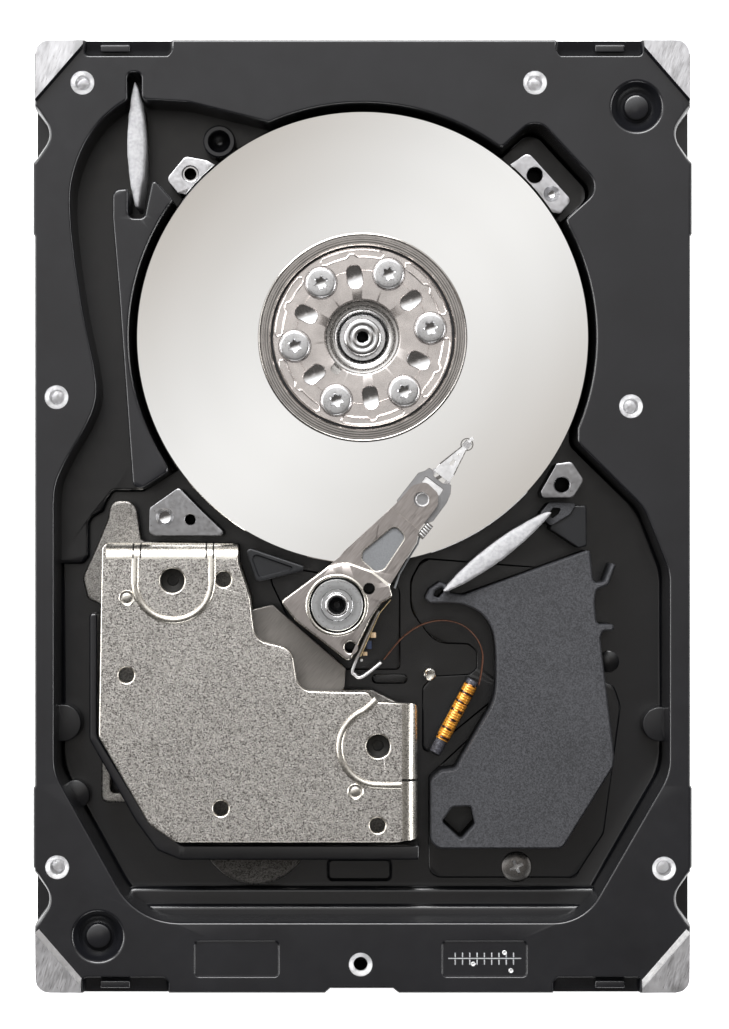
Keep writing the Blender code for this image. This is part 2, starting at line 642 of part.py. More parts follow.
def make_upper_yoke():
    """The plate over the coil, with its flanges bent down at two edges."""
    corners = [(-40.3, -4.0, 0.6), (-19.3, -4.2, 0.6), (-19.2, -7.0, 1.0)] + INNER_EDGE
    corners += [(0.9, -27.1, 0.6), (1.9, -28.6, 0.5), (8.5, -29.0, 0.6), (8.5, -49.8, 0.4),
                (5.2, -50.4, 0.4), (-29.0, -50.4, 2.5), (-33.0, -47.6, 2.0), (-40.8, -34.0, 2.0)]
    holes = [circle(OUTER_STOP, 1.85, 20), circle(INNER_STOP, 1.78, 20)]
    for centre in ((-21.5, -9.7), (-36.5, -24.5), (-21.9, -45.1), (2.3, -47.7)):
        holes.append(circle(centre, 1.17, 14))
    plate = prism(rounded(corners), UPPER_YOKE_BOTTOM, UPPER_YOKE_TOP, holes)
    yoke = make("upper_yoke", plate, PLATED_STEEL)
    flanges = bmesh.new()
    add_prism(flanges, [(-33.0, -5.3), (-20.0, -5.3), (-20.0, -4.25), (-33.0, -4.25)], 14.6, 23.0)
    add_prism(flanges, [(7.2, -48.8), (8.4, -48.8), (8.4, -30.2), (7.2, -30.2)], 14.6, 23.0)
    combine(yoke, flanges, "UNION")


def make_lower_yoke():
    """The plate under the coil, with its tab, its round lobe and its side loop."""
    corners = [(-40.0, -0.4, 1.0), (-39.6, 2.5, 1.6), (-35.6, 2.4, 1.6), (-34.7, -3.9, 0.8),
               (-19.3, -4.2, 0.6), (-19.2, -7.0, 1.0)] + INNER_EDGE
    corners += [(1.5, -27.2, 0.8), (8.3, -30.6, 1.5), (8.3, -49.9, 0.5), (-7.9, -49.9, 0.5)]
    corners += arc((-16.8, -49.2), 8.6, -6.0, -174.0, 12)
    corners += [(-29.5, -50.2, 2.0), (-33.6, -44.9), (-41.0, -44.9, 0.9), (-41.0, -36.6, 0.9),
                (-40.9, -35.0), (-40.9, -14.0, 0.6), (-43.2, -12.9, 1.0), (-44.0, -9.6, 1.6),
                (-41.9, -5.0, 1.0)]
    loop = rounded([(-39.5, -37.2, 0.6), (-35.9, -43.4, 0.6), (-39.5, -43.4, 0.6)])
    plate = prism(rounded(corners), YOKE_SEAT + GAP, LOWER_YOKE_TOP, [loop])
    make("lower_yoke", plate, PLATED_STEEL)


def make_magnet(name, bottom):
    """One arc-shaped magnet."""
    outline = arc(PIVOT, 30.0, 191.0, 267.0, 14) + arc(PIVOT, 15.5, 267.0, 191.0, 9)
    make(name, prism(outline, bottom, bottom + MAGNET_THICKNESS), NICKEL)


def make_voice_coil_motor():
    """The fixed half of the motor that swings the actuator."""
    make_upper_yoke()
    make_lower_yoke()
    make_magnet("lower_magnet", LOWER_YOKE_TOP + GAP)
    make_magnet("upper_magnet", UPPER_YOKE_BOTTOM - GAP - MAGNET_THICKNESS)
    bottom = LOWER_YOKE_TOP + GAP
    top = UPPER_YOKE_BOTTOM - GAP
    for index, centre in enumerate(YOKE_POSTS):
        make(f"yoke_post_{index + 1}", turned(disc_profile(1.6, bottom, top), centre, 20),
             POLISHED_STEEL)
    stop = [(0, bottom), (2.2, bottom), (2.2, bottom + 1.0), (1.7, bottom + 1.5),
            (1.7, top - 1.5), (2.2, top - 1.0), (2.2, top), (0, top)]
    make("crash_stop_outer", turned(stop, OUTER_STOP, 20), BLACK_RUBBER)
    make("crash_stop_inner", turned(stop, INNER_STOP, 20), BLACK_RUBBER)
    shield = rounded([(-42.4, -15.0, 0.6), (-42.4, -34.6, 2.0), (-35.2, -47.3, 0.5),
                      (-31.9, -51.8, 1.5), (-28.3, -53.3, 1.5), (8.8, -53.3, 0.5),
                      (8.8, -51.0, 0.3), (-28.0, -51.0, 1.5), (-33.4, -46.6, 1.5),
                      (-41.2, -34.0, 1.5), (-41.2, -15.0, 0.4)])
    make("motor_shield", prism(shield, 12.6, 20.6), BLACK_PLASTIC)
    wedge = rounded([(-18.3, -4.6, 0.4), (-9.0, -7.7, 0.3), (-9.2, -8.5, 0.3), (-16.4, -10.2, 0.4)])
    make("air_spoiler", prism(wedge, 19.2, 22.9), BLACK_PLASTIC)


# ---------------------------------------------------------------- filters, flex circuit, board

def pouch(start, end, thickness, bottom, top):
    """A lens-shaped fabric pouch that stands on edge between two points."""
    length = math.dist(start, end)
    direction = math.degrees(math.atan2(end[1] - start[1], end[0] - start[0]))
    steps = 9
    widths = [0.12 + (thickness / 2 - 0.12) * math.sin(math.pi * k / (steps - 1)) ** 0.8
              for k in range(steps)]
    upper = [(length * k / (steps - 1), widths[k]) for k in range(steps)]
    lower = [(along, -across) for along, across in upper[::-1]]
    return prism(polar(start, direction, upper + lower), bottom, top)


def make_filters():
    """The two air filters, the clip of one, and the filter housing."""
    make("filter_left", pouch((-35.15, 67.5), (-34.9, 47.2), 3.0, 6.5, 23.6), WHITE_FABRIC)
    make("filter_right", pouch((29.4, 0.9), (12.3, -11.9), 3.0, 6.5, 23.2), WHITE_FABRIC)
    clip = rounded([(29.9, 2.0, 0.3), (34.6, 1.8, 0.3), (34.6, -3.6, 0.3), (33.2, -3.6, 0.3),
                    (32.6, 0.4, 0.5), (30.3, -0.9, 0.3)], 2)
    make("filter_clip", prism(clip, 6.5, 20.0), BLACK_PLASTIC)
    housing = rounded([(10.0, -12.5, 0.3), (10.9, -13.6, 0.3), (15.6, -13.8, 2.0), (20.9, -17.6, 2.5),
                       (20.9, -28.5, 2.0), (14.9, -39.2, 1.0), (10.5, -39.8, 1.2),
                       (10.5, -51.6, 1.5), (31.0, -51.6, 1.2), (39.2, -37.2, 1.0), (36.6, -18.6, 0.8),
                       (38.8, -17.9, 0.3), (38.9, -16.8, 0.3), (36.5, -17.0, 0.4),
                       (36.1, -12.0, 0.4), (38.1, -11.0, 0.4), (39.3, -7.5, 0.2), (38.9, -7.3, 0.2),
                       (37.5, -10.4, 0.4), (35.6, -10.8, 0.4), (35.3, -5.1, 0.3),
                       (15.7, -12.2, 1.0)], 2)
    window = [(12.3, -47.7), (15.5, -50.2), (17.4, -47.3), (16.7, -44.9), (13.9, -45.4)]
    shell = make("filter_housing", prism(housing, 6.5, 20.8, [window]), GREY_PLASTIC)
    cavity = rounded([(22.5, -15.0, 1.5), (34.3, -10.5, 1.5), (34.3, -18.0, 1.5), (36.6, -36.6, 1.5),
                      (29.6, -49.0, 1.5), (20.0, -49.0, 1.5), (20.0, -34.0, 1.5), (22.5, -29.0, 1.5)])
    combine(shell, prism(cavity, 5.0, 19.4), "DIFFERENCE")
    pack = rounded([(23.5, -17.0, 1.0), (33.2, -14.0, 1.0), (35.2, -36.0, 1.0), (29.0, -47.5, 1.0),
                    (21.2, -47.5, 1.0), (21.2, -34.5, 1.0), (23.5, -30.0, 1.0)])
    make("desiccant_pack", prism(pack, 6.8, 18.6), WHITE_FABRIC)
    head = [(0, 4.9), (1.2, 4.9), (1.2, 6.5), (2.4, 6.5), (2.4, 7.6), (2.1, 7.9), (0.9, 7.9),
            (0.9, 7.2), (0, 7.2)]
    combine(bpy.data.objects["base_casting"],
            turned(disc_profile(1.5, 4.6, 12.0), (24.3, -55.4), 16), "DIFFERENCE")
    make("housing_screw", turned(head, (24.3, -55.4), 14), DARK_STEEL)


def make_flex():
    """The flexible circuit from the actuator to the connector under the floor."""
    start, end = (16.9, -26.2), (11.7, -36.0)
    length = math.dist(start, end)
    direction = math.degrees(math.atan2(end[1] - start[1], end[0] - start[0]))
    post = polar(start, direction, [(-0.8, -0.9), (length + 1.2, -0.9),
                                    (length + 1.2, 0.9), (-0.8, 0.9)])
    make("flex_bracket", prism(post, 6.5, 17.6), GREY_PLASTIC)
    bar = bmesh.new()
    rings = []
    for along in (0.0, length - 1.4):
        ring = []
        for across, height in arc((0, 17.9), 1.1, 0, 180, 9):
            point = polar(start, direction, [(along, across)])[0]
            ring.append(bar.verts.new((point[0] * MM, point[1] * MM, height * MM)))
        rings.append(ring)
    for index in range(len(rings[0])):
        after = (index + 1) % len(rings[0])
        bar.faces.new((rings[0][index], rings[0][after], rings[1][after], rings[1][index]))
    bar.faces.new(rings[0])
    bar.faces.new(rings[1])
    make("flex_wrap", bar, AMBER_FILM)
    loop = [(3.3, -22.3), (6.2, -18.9), (9.2, -16.9), (12.4, -16.2), (15.5, -16.9), (17.7, -18.9),
            (18.7, -21.4), (18.5, -24.4), (18.1, -26.3)]
    make("flex_loop", prism(ribbon(smooth(loop, 3), 0.2), 13.5, 18.5), AMBER_FILM)
    pin = [(0, 6.5), (0.97, 6.5), (0.97, 15.6), (0.7, 16.0), (0, 16.0)]
    make("ground_pin", turned(pin, (10.5, -24.7), 20), BRASS)


def make_board():
    """The circuit board, its main chip and the host connector."""
    outline = [(-43.8, -72.6, 1.0), (-22.3, -72.6, 0.5), (-22.3, -63.0, 0.5), (22.3, -63.0, 0.5),
               (22.3, -72.6, 0.5), (43.8, -72.6, 1.0), (43.8, 19.6, 1.0)]
    outline += arc(SPINDLE, 17.5, -28.0, -152.0, 14)
    outline += [(-43.8, 19.6, 1.0)]
    make("circuit_board", prism(rounded(outline), BOARD_BOTTOM, BOARD_TOP), BOARD_GREEN)
    make("controller_chip", box((-9.0, 9.0), (-44.0, -26.0), BOARD_TOP + GAP, 4.0), BLACK_PLASTIC)
    body = make("interface_connector", box((-21.3, 21.3), (-73.2, -64.0), 0.8, 6.4), BLACK_PLASTIC)
    combine(body, box((-19.6, 19.6), (-80.0, -67.0), 1.6, 5.4), "DIFFERENCE")
    combine(body, box((-18.6, 15.6), (-72.4, -66.0), 2.9, 4.1), "UNION")


# ---------------------------------------------------------------- build

for old in list(bpy.data.objects):
    bpy.data.objects.remove(old, do_unlink=True)

BLACK_COAT = material("black_e_coat", (0.030, 0.031, 0.036), 0.42)
CAST_ALUMINIUM = material("cast_aluminium", (0.55, 0.56, 0.58), 0.45, 1.0)
TURNED_ALUMINIUM = material("turned_aluminium", (0.72, 0.72, 0.72), 0.28, 1.0)
MACHINED_ALUMINIUM = material("machined_aluminium", (0.52, 0.48, 0.45), 0.38, 1.0)
SATIN_ALUMINIUM = material("satin_aluminium", (0.48, 0.46, 0.43), 0.45, 1.0)
POLISHED_STEEL = material("polished_steel", (0.66, 0.66, 0.66), 0.22, 1.0)
DARK_STEEL = material("dark_steel", (0.22, 0.21, 0.20), 0.35, 1.0)
STAINLESS = material("stainless_spring", (0.70, 0.70, 0.72), 0.25, 1.0)
LAMINATED_STEEL = material("laminated_steel", (0.35, 0.35, 0.36), 0.5, 1.0)
PLATED_STEEL = material("plated_steel", (0.55, 0.53, 0.49), 0.34, 1.0)
NICKEL = material("nickel_plate", (0.62, 0.60, 0.56), 0.25, 1.0)
MIRROR_MEDIA = material("platter_media", (0.80, 0.78, 0.75), 0.06, 1.0)
COPPER = material("copper_winding", (0.72, 0.36, 0.17), 0.4, 1.0)
BRASS = material("gilt_brass", (0.78, 0.64, 0.38), 0.3, 1.0)
MAGNET_BLACK = material("bonded_magnet", (0.06, 0.06, 0.06), 0.6)
BLACK_PLASTIC = material("black_plastic", (0.02, 0.021, 0.023), 0.5)
GREY_PLASTIC = material("grey_plastic", (0.09, 0.09, 0.1), 0.6)
BLACK_RUBBER = material("black_rubber", (0.03, 0.03, 0.03), 0.8)
AMBER_FILM = material("amber_film", (0.75, 0.30, 0.03), 0.3)
WHITE_FABRIC = material("white_filter_fabric", (0.82, 0.82, 0.83), 0.9)
BOARD_GREEN = material("board_laminate", (0.03, 0.16, 0.06), 0.45)

spindle_axis = axis_empty("spindle_axis", SPINDLE)
actuator_axis = axis_empty("actuator_axis", PIVOT)

make_casting()
make_motor()
make_rotor(spindle_axis)
make_actuator(actuator_axis)
make_pivot_shaft()
make_voice_coil_motor()
make_filters()
make_flex()
make_board()
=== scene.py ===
"""The looks of the hard disk drive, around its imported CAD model.

Sizes are in millimetres, in the CAD model's own frame: X across the drive, Y towards
the end away from the connector, Z up from the bottom of the rails. Heights come from
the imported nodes' boxes, and outlines repeat those of the CAD model with finer edges.
"""
import json
import math

import bmesh
import bpy
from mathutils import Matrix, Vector, noise


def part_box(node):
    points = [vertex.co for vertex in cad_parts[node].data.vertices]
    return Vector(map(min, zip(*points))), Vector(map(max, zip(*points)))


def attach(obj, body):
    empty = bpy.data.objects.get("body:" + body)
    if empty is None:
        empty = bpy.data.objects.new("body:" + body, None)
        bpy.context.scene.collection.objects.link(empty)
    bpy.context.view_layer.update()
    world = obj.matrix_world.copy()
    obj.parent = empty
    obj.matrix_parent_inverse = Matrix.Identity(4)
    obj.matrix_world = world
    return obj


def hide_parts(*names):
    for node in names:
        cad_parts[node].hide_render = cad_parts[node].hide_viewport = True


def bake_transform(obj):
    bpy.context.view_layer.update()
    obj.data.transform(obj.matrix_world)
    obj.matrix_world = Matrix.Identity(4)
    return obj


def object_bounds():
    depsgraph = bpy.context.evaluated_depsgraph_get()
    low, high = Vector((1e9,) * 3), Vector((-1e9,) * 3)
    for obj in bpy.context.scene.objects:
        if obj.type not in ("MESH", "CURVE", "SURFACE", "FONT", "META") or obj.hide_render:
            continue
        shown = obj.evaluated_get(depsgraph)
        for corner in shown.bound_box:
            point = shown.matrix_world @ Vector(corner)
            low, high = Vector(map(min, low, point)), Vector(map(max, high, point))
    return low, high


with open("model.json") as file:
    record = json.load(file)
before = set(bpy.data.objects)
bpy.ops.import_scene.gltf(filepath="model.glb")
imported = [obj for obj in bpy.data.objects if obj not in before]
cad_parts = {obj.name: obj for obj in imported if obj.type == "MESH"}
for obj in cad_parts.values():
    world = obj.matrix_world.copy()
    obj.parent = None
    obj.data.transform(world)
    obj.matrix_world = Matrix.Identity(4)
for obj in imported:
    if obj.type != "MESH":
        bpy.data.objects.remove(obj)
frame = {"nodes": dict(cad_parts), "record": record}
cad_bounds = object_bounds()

MM = 0.001


def bottom_of(node):
    """Height of a CAD node's lowest point."""
    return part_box(node)[0].z / MM


def top_of(node):
    """Height of a CAD node's highest point."""
    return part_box(node)[1].z / MM


def span(node):
    """Heights of a CAD node's lowest and highest points."""
    return bottom_of(node), top_of(node)


def centre_of(node):
    """Where the middle of a CAD node is, seen from above."""
    low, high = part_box(node)
    return ((low.x + high.x) / 2 / MM, (low.y + high.y) / 2 / MM)


SPINDLE = centre_of("platter_1")
PIVOT = centre_of("pivot_bearing")
PLATTER_RADIUS = (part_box("platter_1")[1].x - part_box("platter_1")[0].x) / 2 / MM
HALF_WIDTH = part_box("base_casting")[1].x / MM
HALF_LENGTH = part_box("base_casting")[1].y / MM
CASE_TOP = top_of("base_casting")
DECK = CASE_TOP - 1.2           # the face that the cover seats on
FLOOR = bottom_of("ground_pin") - 0.3
PAD_TOP = 21.5                  # machined pads beside the platters
SHROUD_RADIUS = PLATTER_RADIUS + 1.1
SHROUD_TOP = DECK - 0.7
YOKE_TOP = top_of("upper_yoke")
BLOCK_TOP = top_of("actuator_block")
ARM_DIRECTION = 51.0
COIL_DIRECTION = 229.0

# ---------------------------------------------------------------- outlines


def arc(centre, radius, start, end, steps):
    """Points along an arc, from one angle in degrees to another."""
    points = []
    for step in range(steps):
        angle = math.radians(start + (end - start) * step / (steps - 1))
        x = centre[0] + radius * math.cos(angle)
        y = centre[1] + radius * math.sin(angle)
        points.append((x, y))
    return points


def circle(centre, radius, steps=40):
    """Points round a circle."""
    return arc(centre, radius, 0.0, 360.0 * (steps - 1) / steps, steps)


def rounded(corners, steps=6):
    """Outline through the corners; a corner (x, y, radius) becomes a fillet."""
    outline = []
    for index, corner in enumerate(corners):
        if len(corner) == 2:
            outline.append(corner)
            continue
        before = corners[index - 1]
        after = corners[(index + 1) % len(corners)]
        outline.extend(fillet(before, corner, after, steps))
    return outline


def fillet(before, corner, after, steps):
    """Points along the arc that rounds one corner."""
    x, y, radius = corner
    back = math.atan2(before[1] - y, before[0] - x)
    ahead = math.atan2(after[1] - y, after[0] - x)
    turn = (ahead - back + math.pi) % (2 * math.pi) - math.pi
    room = 0.48 * min(math.dist(before[:2], (x, y)), math.dist(after[:2], (x, y)))
    reach = min(radius / math.tan(abs(turn) / 2), room)
    radius = reach * math.tan(abs(turn) / 2)
    middle = back + turn / 2
    depth = radius / math.sin(abs(turn) / 2)
    centre = (x + depth * math.cos(middle), y + depth * math.sin(middle))
    start = (x + reach * math.cos(back), y + reach * math.sin(back))
    end = (x + reach * math.cos(ahead), y + reach * math.sin(ahead))
    first = math.atan2(start[1] - centre[1], start[0] - centre[0])
    last = math.atan2(end[1] - centre[1], end[0] - centre[0])
    sweep = (last - first + math.pi) % (2 * math.pi) - math.pi
    return arc(centre, radius, math.degrees(first), math.degrees(first + sweep), steps)


def rectangle_corners(x_range, y_range, radius):
    """The four corners of a rectangle, each with its radius."""
    (left, right), (near, far) = x_range, y_range
    return [(left, near, radius), (right, near, radius), (right, far, radius), (left, far, radius)]


def rectangle(x_range, y_range, radius=0.5):
    """A rectangle with rounded corners."""
    return rounded(rectangle_corners(x_range, y_range, radius))


def both_sides(points, axis=1):
    """The points, then back along the same points mirrored in X (axis 0) or Y (axis 1)."""
    mirrored = []
    for point in points[::-1]:
        place = list(point)
        place[axis] = -place[axis]
        mirrored.append(tuple(place))
    return list(points) + mirrored


def polar(centre, direction, points):
    """Turn (along, across) points about a centre into plain (x, y) points."""
    angle = math.radians(direction)
    ahead = (math.cos(angle), math.sin(angle))
    result = []
    for point in points:
        x = centre[0] + point[0] * ahead[0] - point[1] * ahead[1]
        y = centre[1] + point[0] * ahead[1] + point[1] * ahead[0]
        result.append((x, y) + tuple(point[2:]))
    return result


def smooth(points, steps=8):
    """Catmull-Rom curve through the points, with a few steps between each pair."""
    padded = [points[0]] + list(points) + [points[-1]]
    curve = []
    for index in range(len(points) - 1):
        a, b, c, d = padded[index:index + 4]
        for step in range(steps):
            t = step / steps
            curve.append(tuple(catmull(a[k], b[k], c[k], d[k], t) for k in range(2)))
    curve.append(points[-1])
    return curve


def catmull(a, b, c, d, t):
    """One coordinate of a Catmull-Rom curve between b and c."""
    return 0.5 * (2 * b + (c - a) * t + (2 * a - 5 * b + 4 * c - d) * t ** 2
                  + (3 * b - a - 3 * c + d) * t ** 3)


def ribbon(points, width):
    """Outline of a strip of even width that follows the points."""
    left, right = [], []
    for index, point in enumerate(points):
        before = points[max(index - 1, 0)]
        after = points[min(index + 1, len(points) - 1)]
        angle = math.atan2(after[1] - before[1], after[0] - before[0])
        across = (-math.sin(angle) * width / 2, math.cos(angle) * width / 2)
        left.append((point[0] + across[0], point[1] + across[1]))
        right.append((point[0] - across[0], point[1] - across[1]))
    return left + right[::-1]


def clean(outline):
    """The outline without points that lie on top of the one before."""
    kept = [point for index, point in enumerate(outline)
            if math.dist(point, outline[index - 1]) > 0.012]
    return kept


def offset(outline, distance):
    """A closed outline moved inwards by a distance, or outwards if it is negative."""
    area = sum(a[0] * b[1] - b[0] * a[1] for a, b in zip(outline, outline[1:] + outline[:1]))
    inward = distance * math.copysign(1.0, area)
    moved = []
    for index, (x, y) in enumerate(outline):
        before, after = outline[index - 1], outline[(index + 1) % len(outline)]
        first, second = left_normal(before, (x, y)), left_normal((x, y), after)
        total = (first[0] + second[0], first[1] + second[1])
        reach = inward * min(2.0 / max(total[0] ** 2 + total[1] ** 2, 0.1), 1.6)
        moved.append((x + total[0] * reach, y + total[1] * reach))
    return moved


def left_normal(start, end):
    """Unit vector to the left of the way from one point to another."""
    length = math.dist(start, end) or 1.0
    return (-(end[1] - start[1]) / length, (end[0] - start[0]) / length)


def edges(bottom, top, lower=0.0, upper=0.3, steps=3):
    """Levels (inset, height) of an upright solid with rounded lower and upper edges."""
    levels = []
    for step in range(steps + 1 if lower else 1):
        angle = math.pi / 2 * step / steps
        levels.append((lower * (1 - math.sin(angle)), bottom + lower * (1 - math.cos(angle))))
    for step in range(steps + 1 if upper else 1):
        angle = math.pi / 2 * step / steps
        levels.append((upper * (1 - math.cos(angle)), top - upper * (1 - math.sin(angle))))
    return levels


def rod(radius, low, high):
    """Profile of a plain round rod."""
    return [(0, low), (radius, low), (radius, high), (0, high)]


# ---------------------------------------------------------------- mesh tools

def add_rings(bm, rings, closed=False):
    """Quads between rings of (x, y, z) points; an end ring of one point is a tip."""
    made = [[bm.verts.new(Vector(point) * MM) for point in ring] for ring in rings]
    pairs = list(zip(made, made[1:]))
    if closed:
        pairs.append((made[-1], made[0]))
    for lower, upper in pairs:
        count = max(len(lower), len(upper))
        for step in range(count):
            after = step + 1
            corners = [lower[step % len(lower)], lower[after % len(lower)],
                       upper[after % len(upper)], upper[step % len(upper)]]
            bm.faces.new(list(dict.fromkeys(corners)))
    return made


def add_cap(bm, loops):
    """Fill the area between closed loops of vertices."""
    borders = []
    for loop in loops:
        borders += [bm.edges.get(pair) or bm.edges.new(pair)
                    for pair in zip(loop, loop[1:] + loop[:1])]
    bmesh.ops.triangle_fill(bm, use_beauty=True, edges=borders)


def add_plate(bm, outline, levels, holes=(), place=None):
    """A closed solid whose outline and holes are inset by the first number of each
    level, at the height that is its second; place turns (x, y, z) into where it lies."""
    place = place or (lambda x, y, z: (x, y, z))
    ends = []
    for index, loop in enumerate([outline, *holes]):
        loop = clean(loop)
        sign = -1 if index else 1
        rings = []
        for inset, height in levels:
            rings.append([place(x, y, height) for x, y in offset(loop, sign * inset)])
        ends.append(add_rings(bm, rings))
    add_cap(bm, [rings[0] for rings in ends])
    add_cap(bm, [rings[-1] for rings in ends])


def add_turned(bm, profile, centre, segments=48):
    """Turn a profile of (radius, height) round a vertical axis; it ends on the axis or
    closes on itself."""
    rings = []
    for radius, height in profile:
        ring = []
        for step in range(segments if radius > 0 else 1):
            angle = 2 * math.pi * step / segments
            ring.append((centre[0] + radius * math.cos(angle),
                         centre[1] + radius * math.sin(angle), height))
        rings.append(ring)
    add_rings(bm, rings, closed=profile[0][0] > 0)


def plate(outline, levels, holes=()):
    """A new mesh with one plate."""
    bm = bmesh.new()
    add_plate(bm, outline, levels, holes)
    return bm


def turned(profile, centre, segments=48):
    """A new mesh with one turned shape."""
    bm = bmesh.new()
    add_turned(bm, profile, centre, segments)
    return bm


def gathered(fill):
    """A new mesh filled by a function that adds several separate shapes."""
    bm = bmesh.new()
    fill(bm)
    return bm


def new_piece(name, bm, finish):
    """An object of one finish from a mesh."""
    bmesh.ops.recalc_face_normals(bm, faces=bm.faces[:])
    mesh = bpy.data.meshes.new(name)
    bm.to_mesh(mesh)
    bm.free()
    mesh.materials.append(finish)
    piece = bpy.data.objects.new(name, mesh)
    bpy.context.scene.collection.objects.link(piece)
    return piece


def apply_modifiers(piece):
    """Turn a piece's modifiers into its mesh."""
    bpy.context.view_layer.update()
    depsgraph = bpy.context.evaluated_depsgraph_get()
    mesh = bpy.data.meshes.new_from_object(piece.evaluated_get(depsgraph),
                                           preserve_all_data_layers=True, depsgraph=depsgraph)
    piece.modifiers.clear()
    piece.data = mesh


def carve(piece, bm, finish=None, operation="DIFFERENCE"):
    """Cut a shape from a piece or join it on; its faces bring their own finish."""
    tool = new_piece("tool", bm, finish or piece.data.materials[0])
    modifier = piece.modifiers.new("carve", "BOOLEAN")
    modifier.operation = operation
    modifier.object = tool
    modifier.solver = "EXACT"
    modifier.material_mode = "TRANSFER"
    apply_modifiers(piece)
    bpy.data.objects.remove(tool, do_unlink=True)


def join(piece, bm, finish=None):
    """Join a shape onto a piece."""
    carve(piece, bm, finish, "UNION")


def paint(piece, finish, wanted):
    """Give a finish to the faces for which wanted(centre, normal) holds."""
    mesh = piece.data
    if finish.name not in mesh.materials:
        mesh.materials.append(finish)
    index = mesh.materials.find(finish.name)
    for face in mesh.polygons:
        if wanted(face.center / MM, face.normal):
            face.material_index = index


def shade(piece, angle=38.0):
    """Smooth shading that keeps flat faces flat and sharp edges sharp."""
    bm = bmesh.new()
    bm.from_mesh(piece.data)
    bmesh.ops.remove_doubles(bm, verts=bm.verts, dist=0.001 * MM)
    bmesh.ops.dissolve_degenerate(bm, edges=bm.edges, dist=0.0005 * MM)
    bm.to_mesh(piece.data)
    bm.free()
    piece.data.shade_smooth()
    piece.data.set_sharp_from_angle(angle=math.radians(angle))
    weighted = piece.modifiers.new("weighted_normal", "WEIGHTED_NORMAL")
    weighted.keep_sharp = True
    weighted.weight = 80
    apply_modifiers(piece)


BODY_OF = {node: body for body, nodes in frame["record"]["behaviour"]["bodies"].items()
           for node in nodes}


def stand_in(piece, *nodes, angle=38.0):
    """A finished piece takes the place of its CAD nodes and rides on their body."""
    shade(piece, angle)
    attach(piece, BODY_OF[nodes[0]])
    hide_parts(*nodes)


def remake(node, bm, finish):
    """A new shape of one finish takes the place of a CAD node."""
    stand_in(new_piece(f"{node}_detail", bm, finish), node)


def add_extra(piece, body):
    """A finished piece that the CAD model has no node for."""
    shade(piece)
    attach(piece, body)


# ---------------------------------------------------------------- materials

def add_node(tree, kind, inputs=None, **settings):
    """A shader node with its settings made and its inputs set or linked."""
    node = tree.nodes.new(kind)
    for name, value in settings.items():
        setattr(node, name, value)
    for socket, value in (inputs or {}).items():
        if isinstance(value, bpy.types.NodeSocket):
            tree.links.new(value, node.inputs[socket])
        else:
            node.inputs[socket].default_value = value
    return node


def shades(colour, *levels):
    """The colour at several levels of brightness."""
    return [tuple(channel * level for channel in colour) for level in levels]


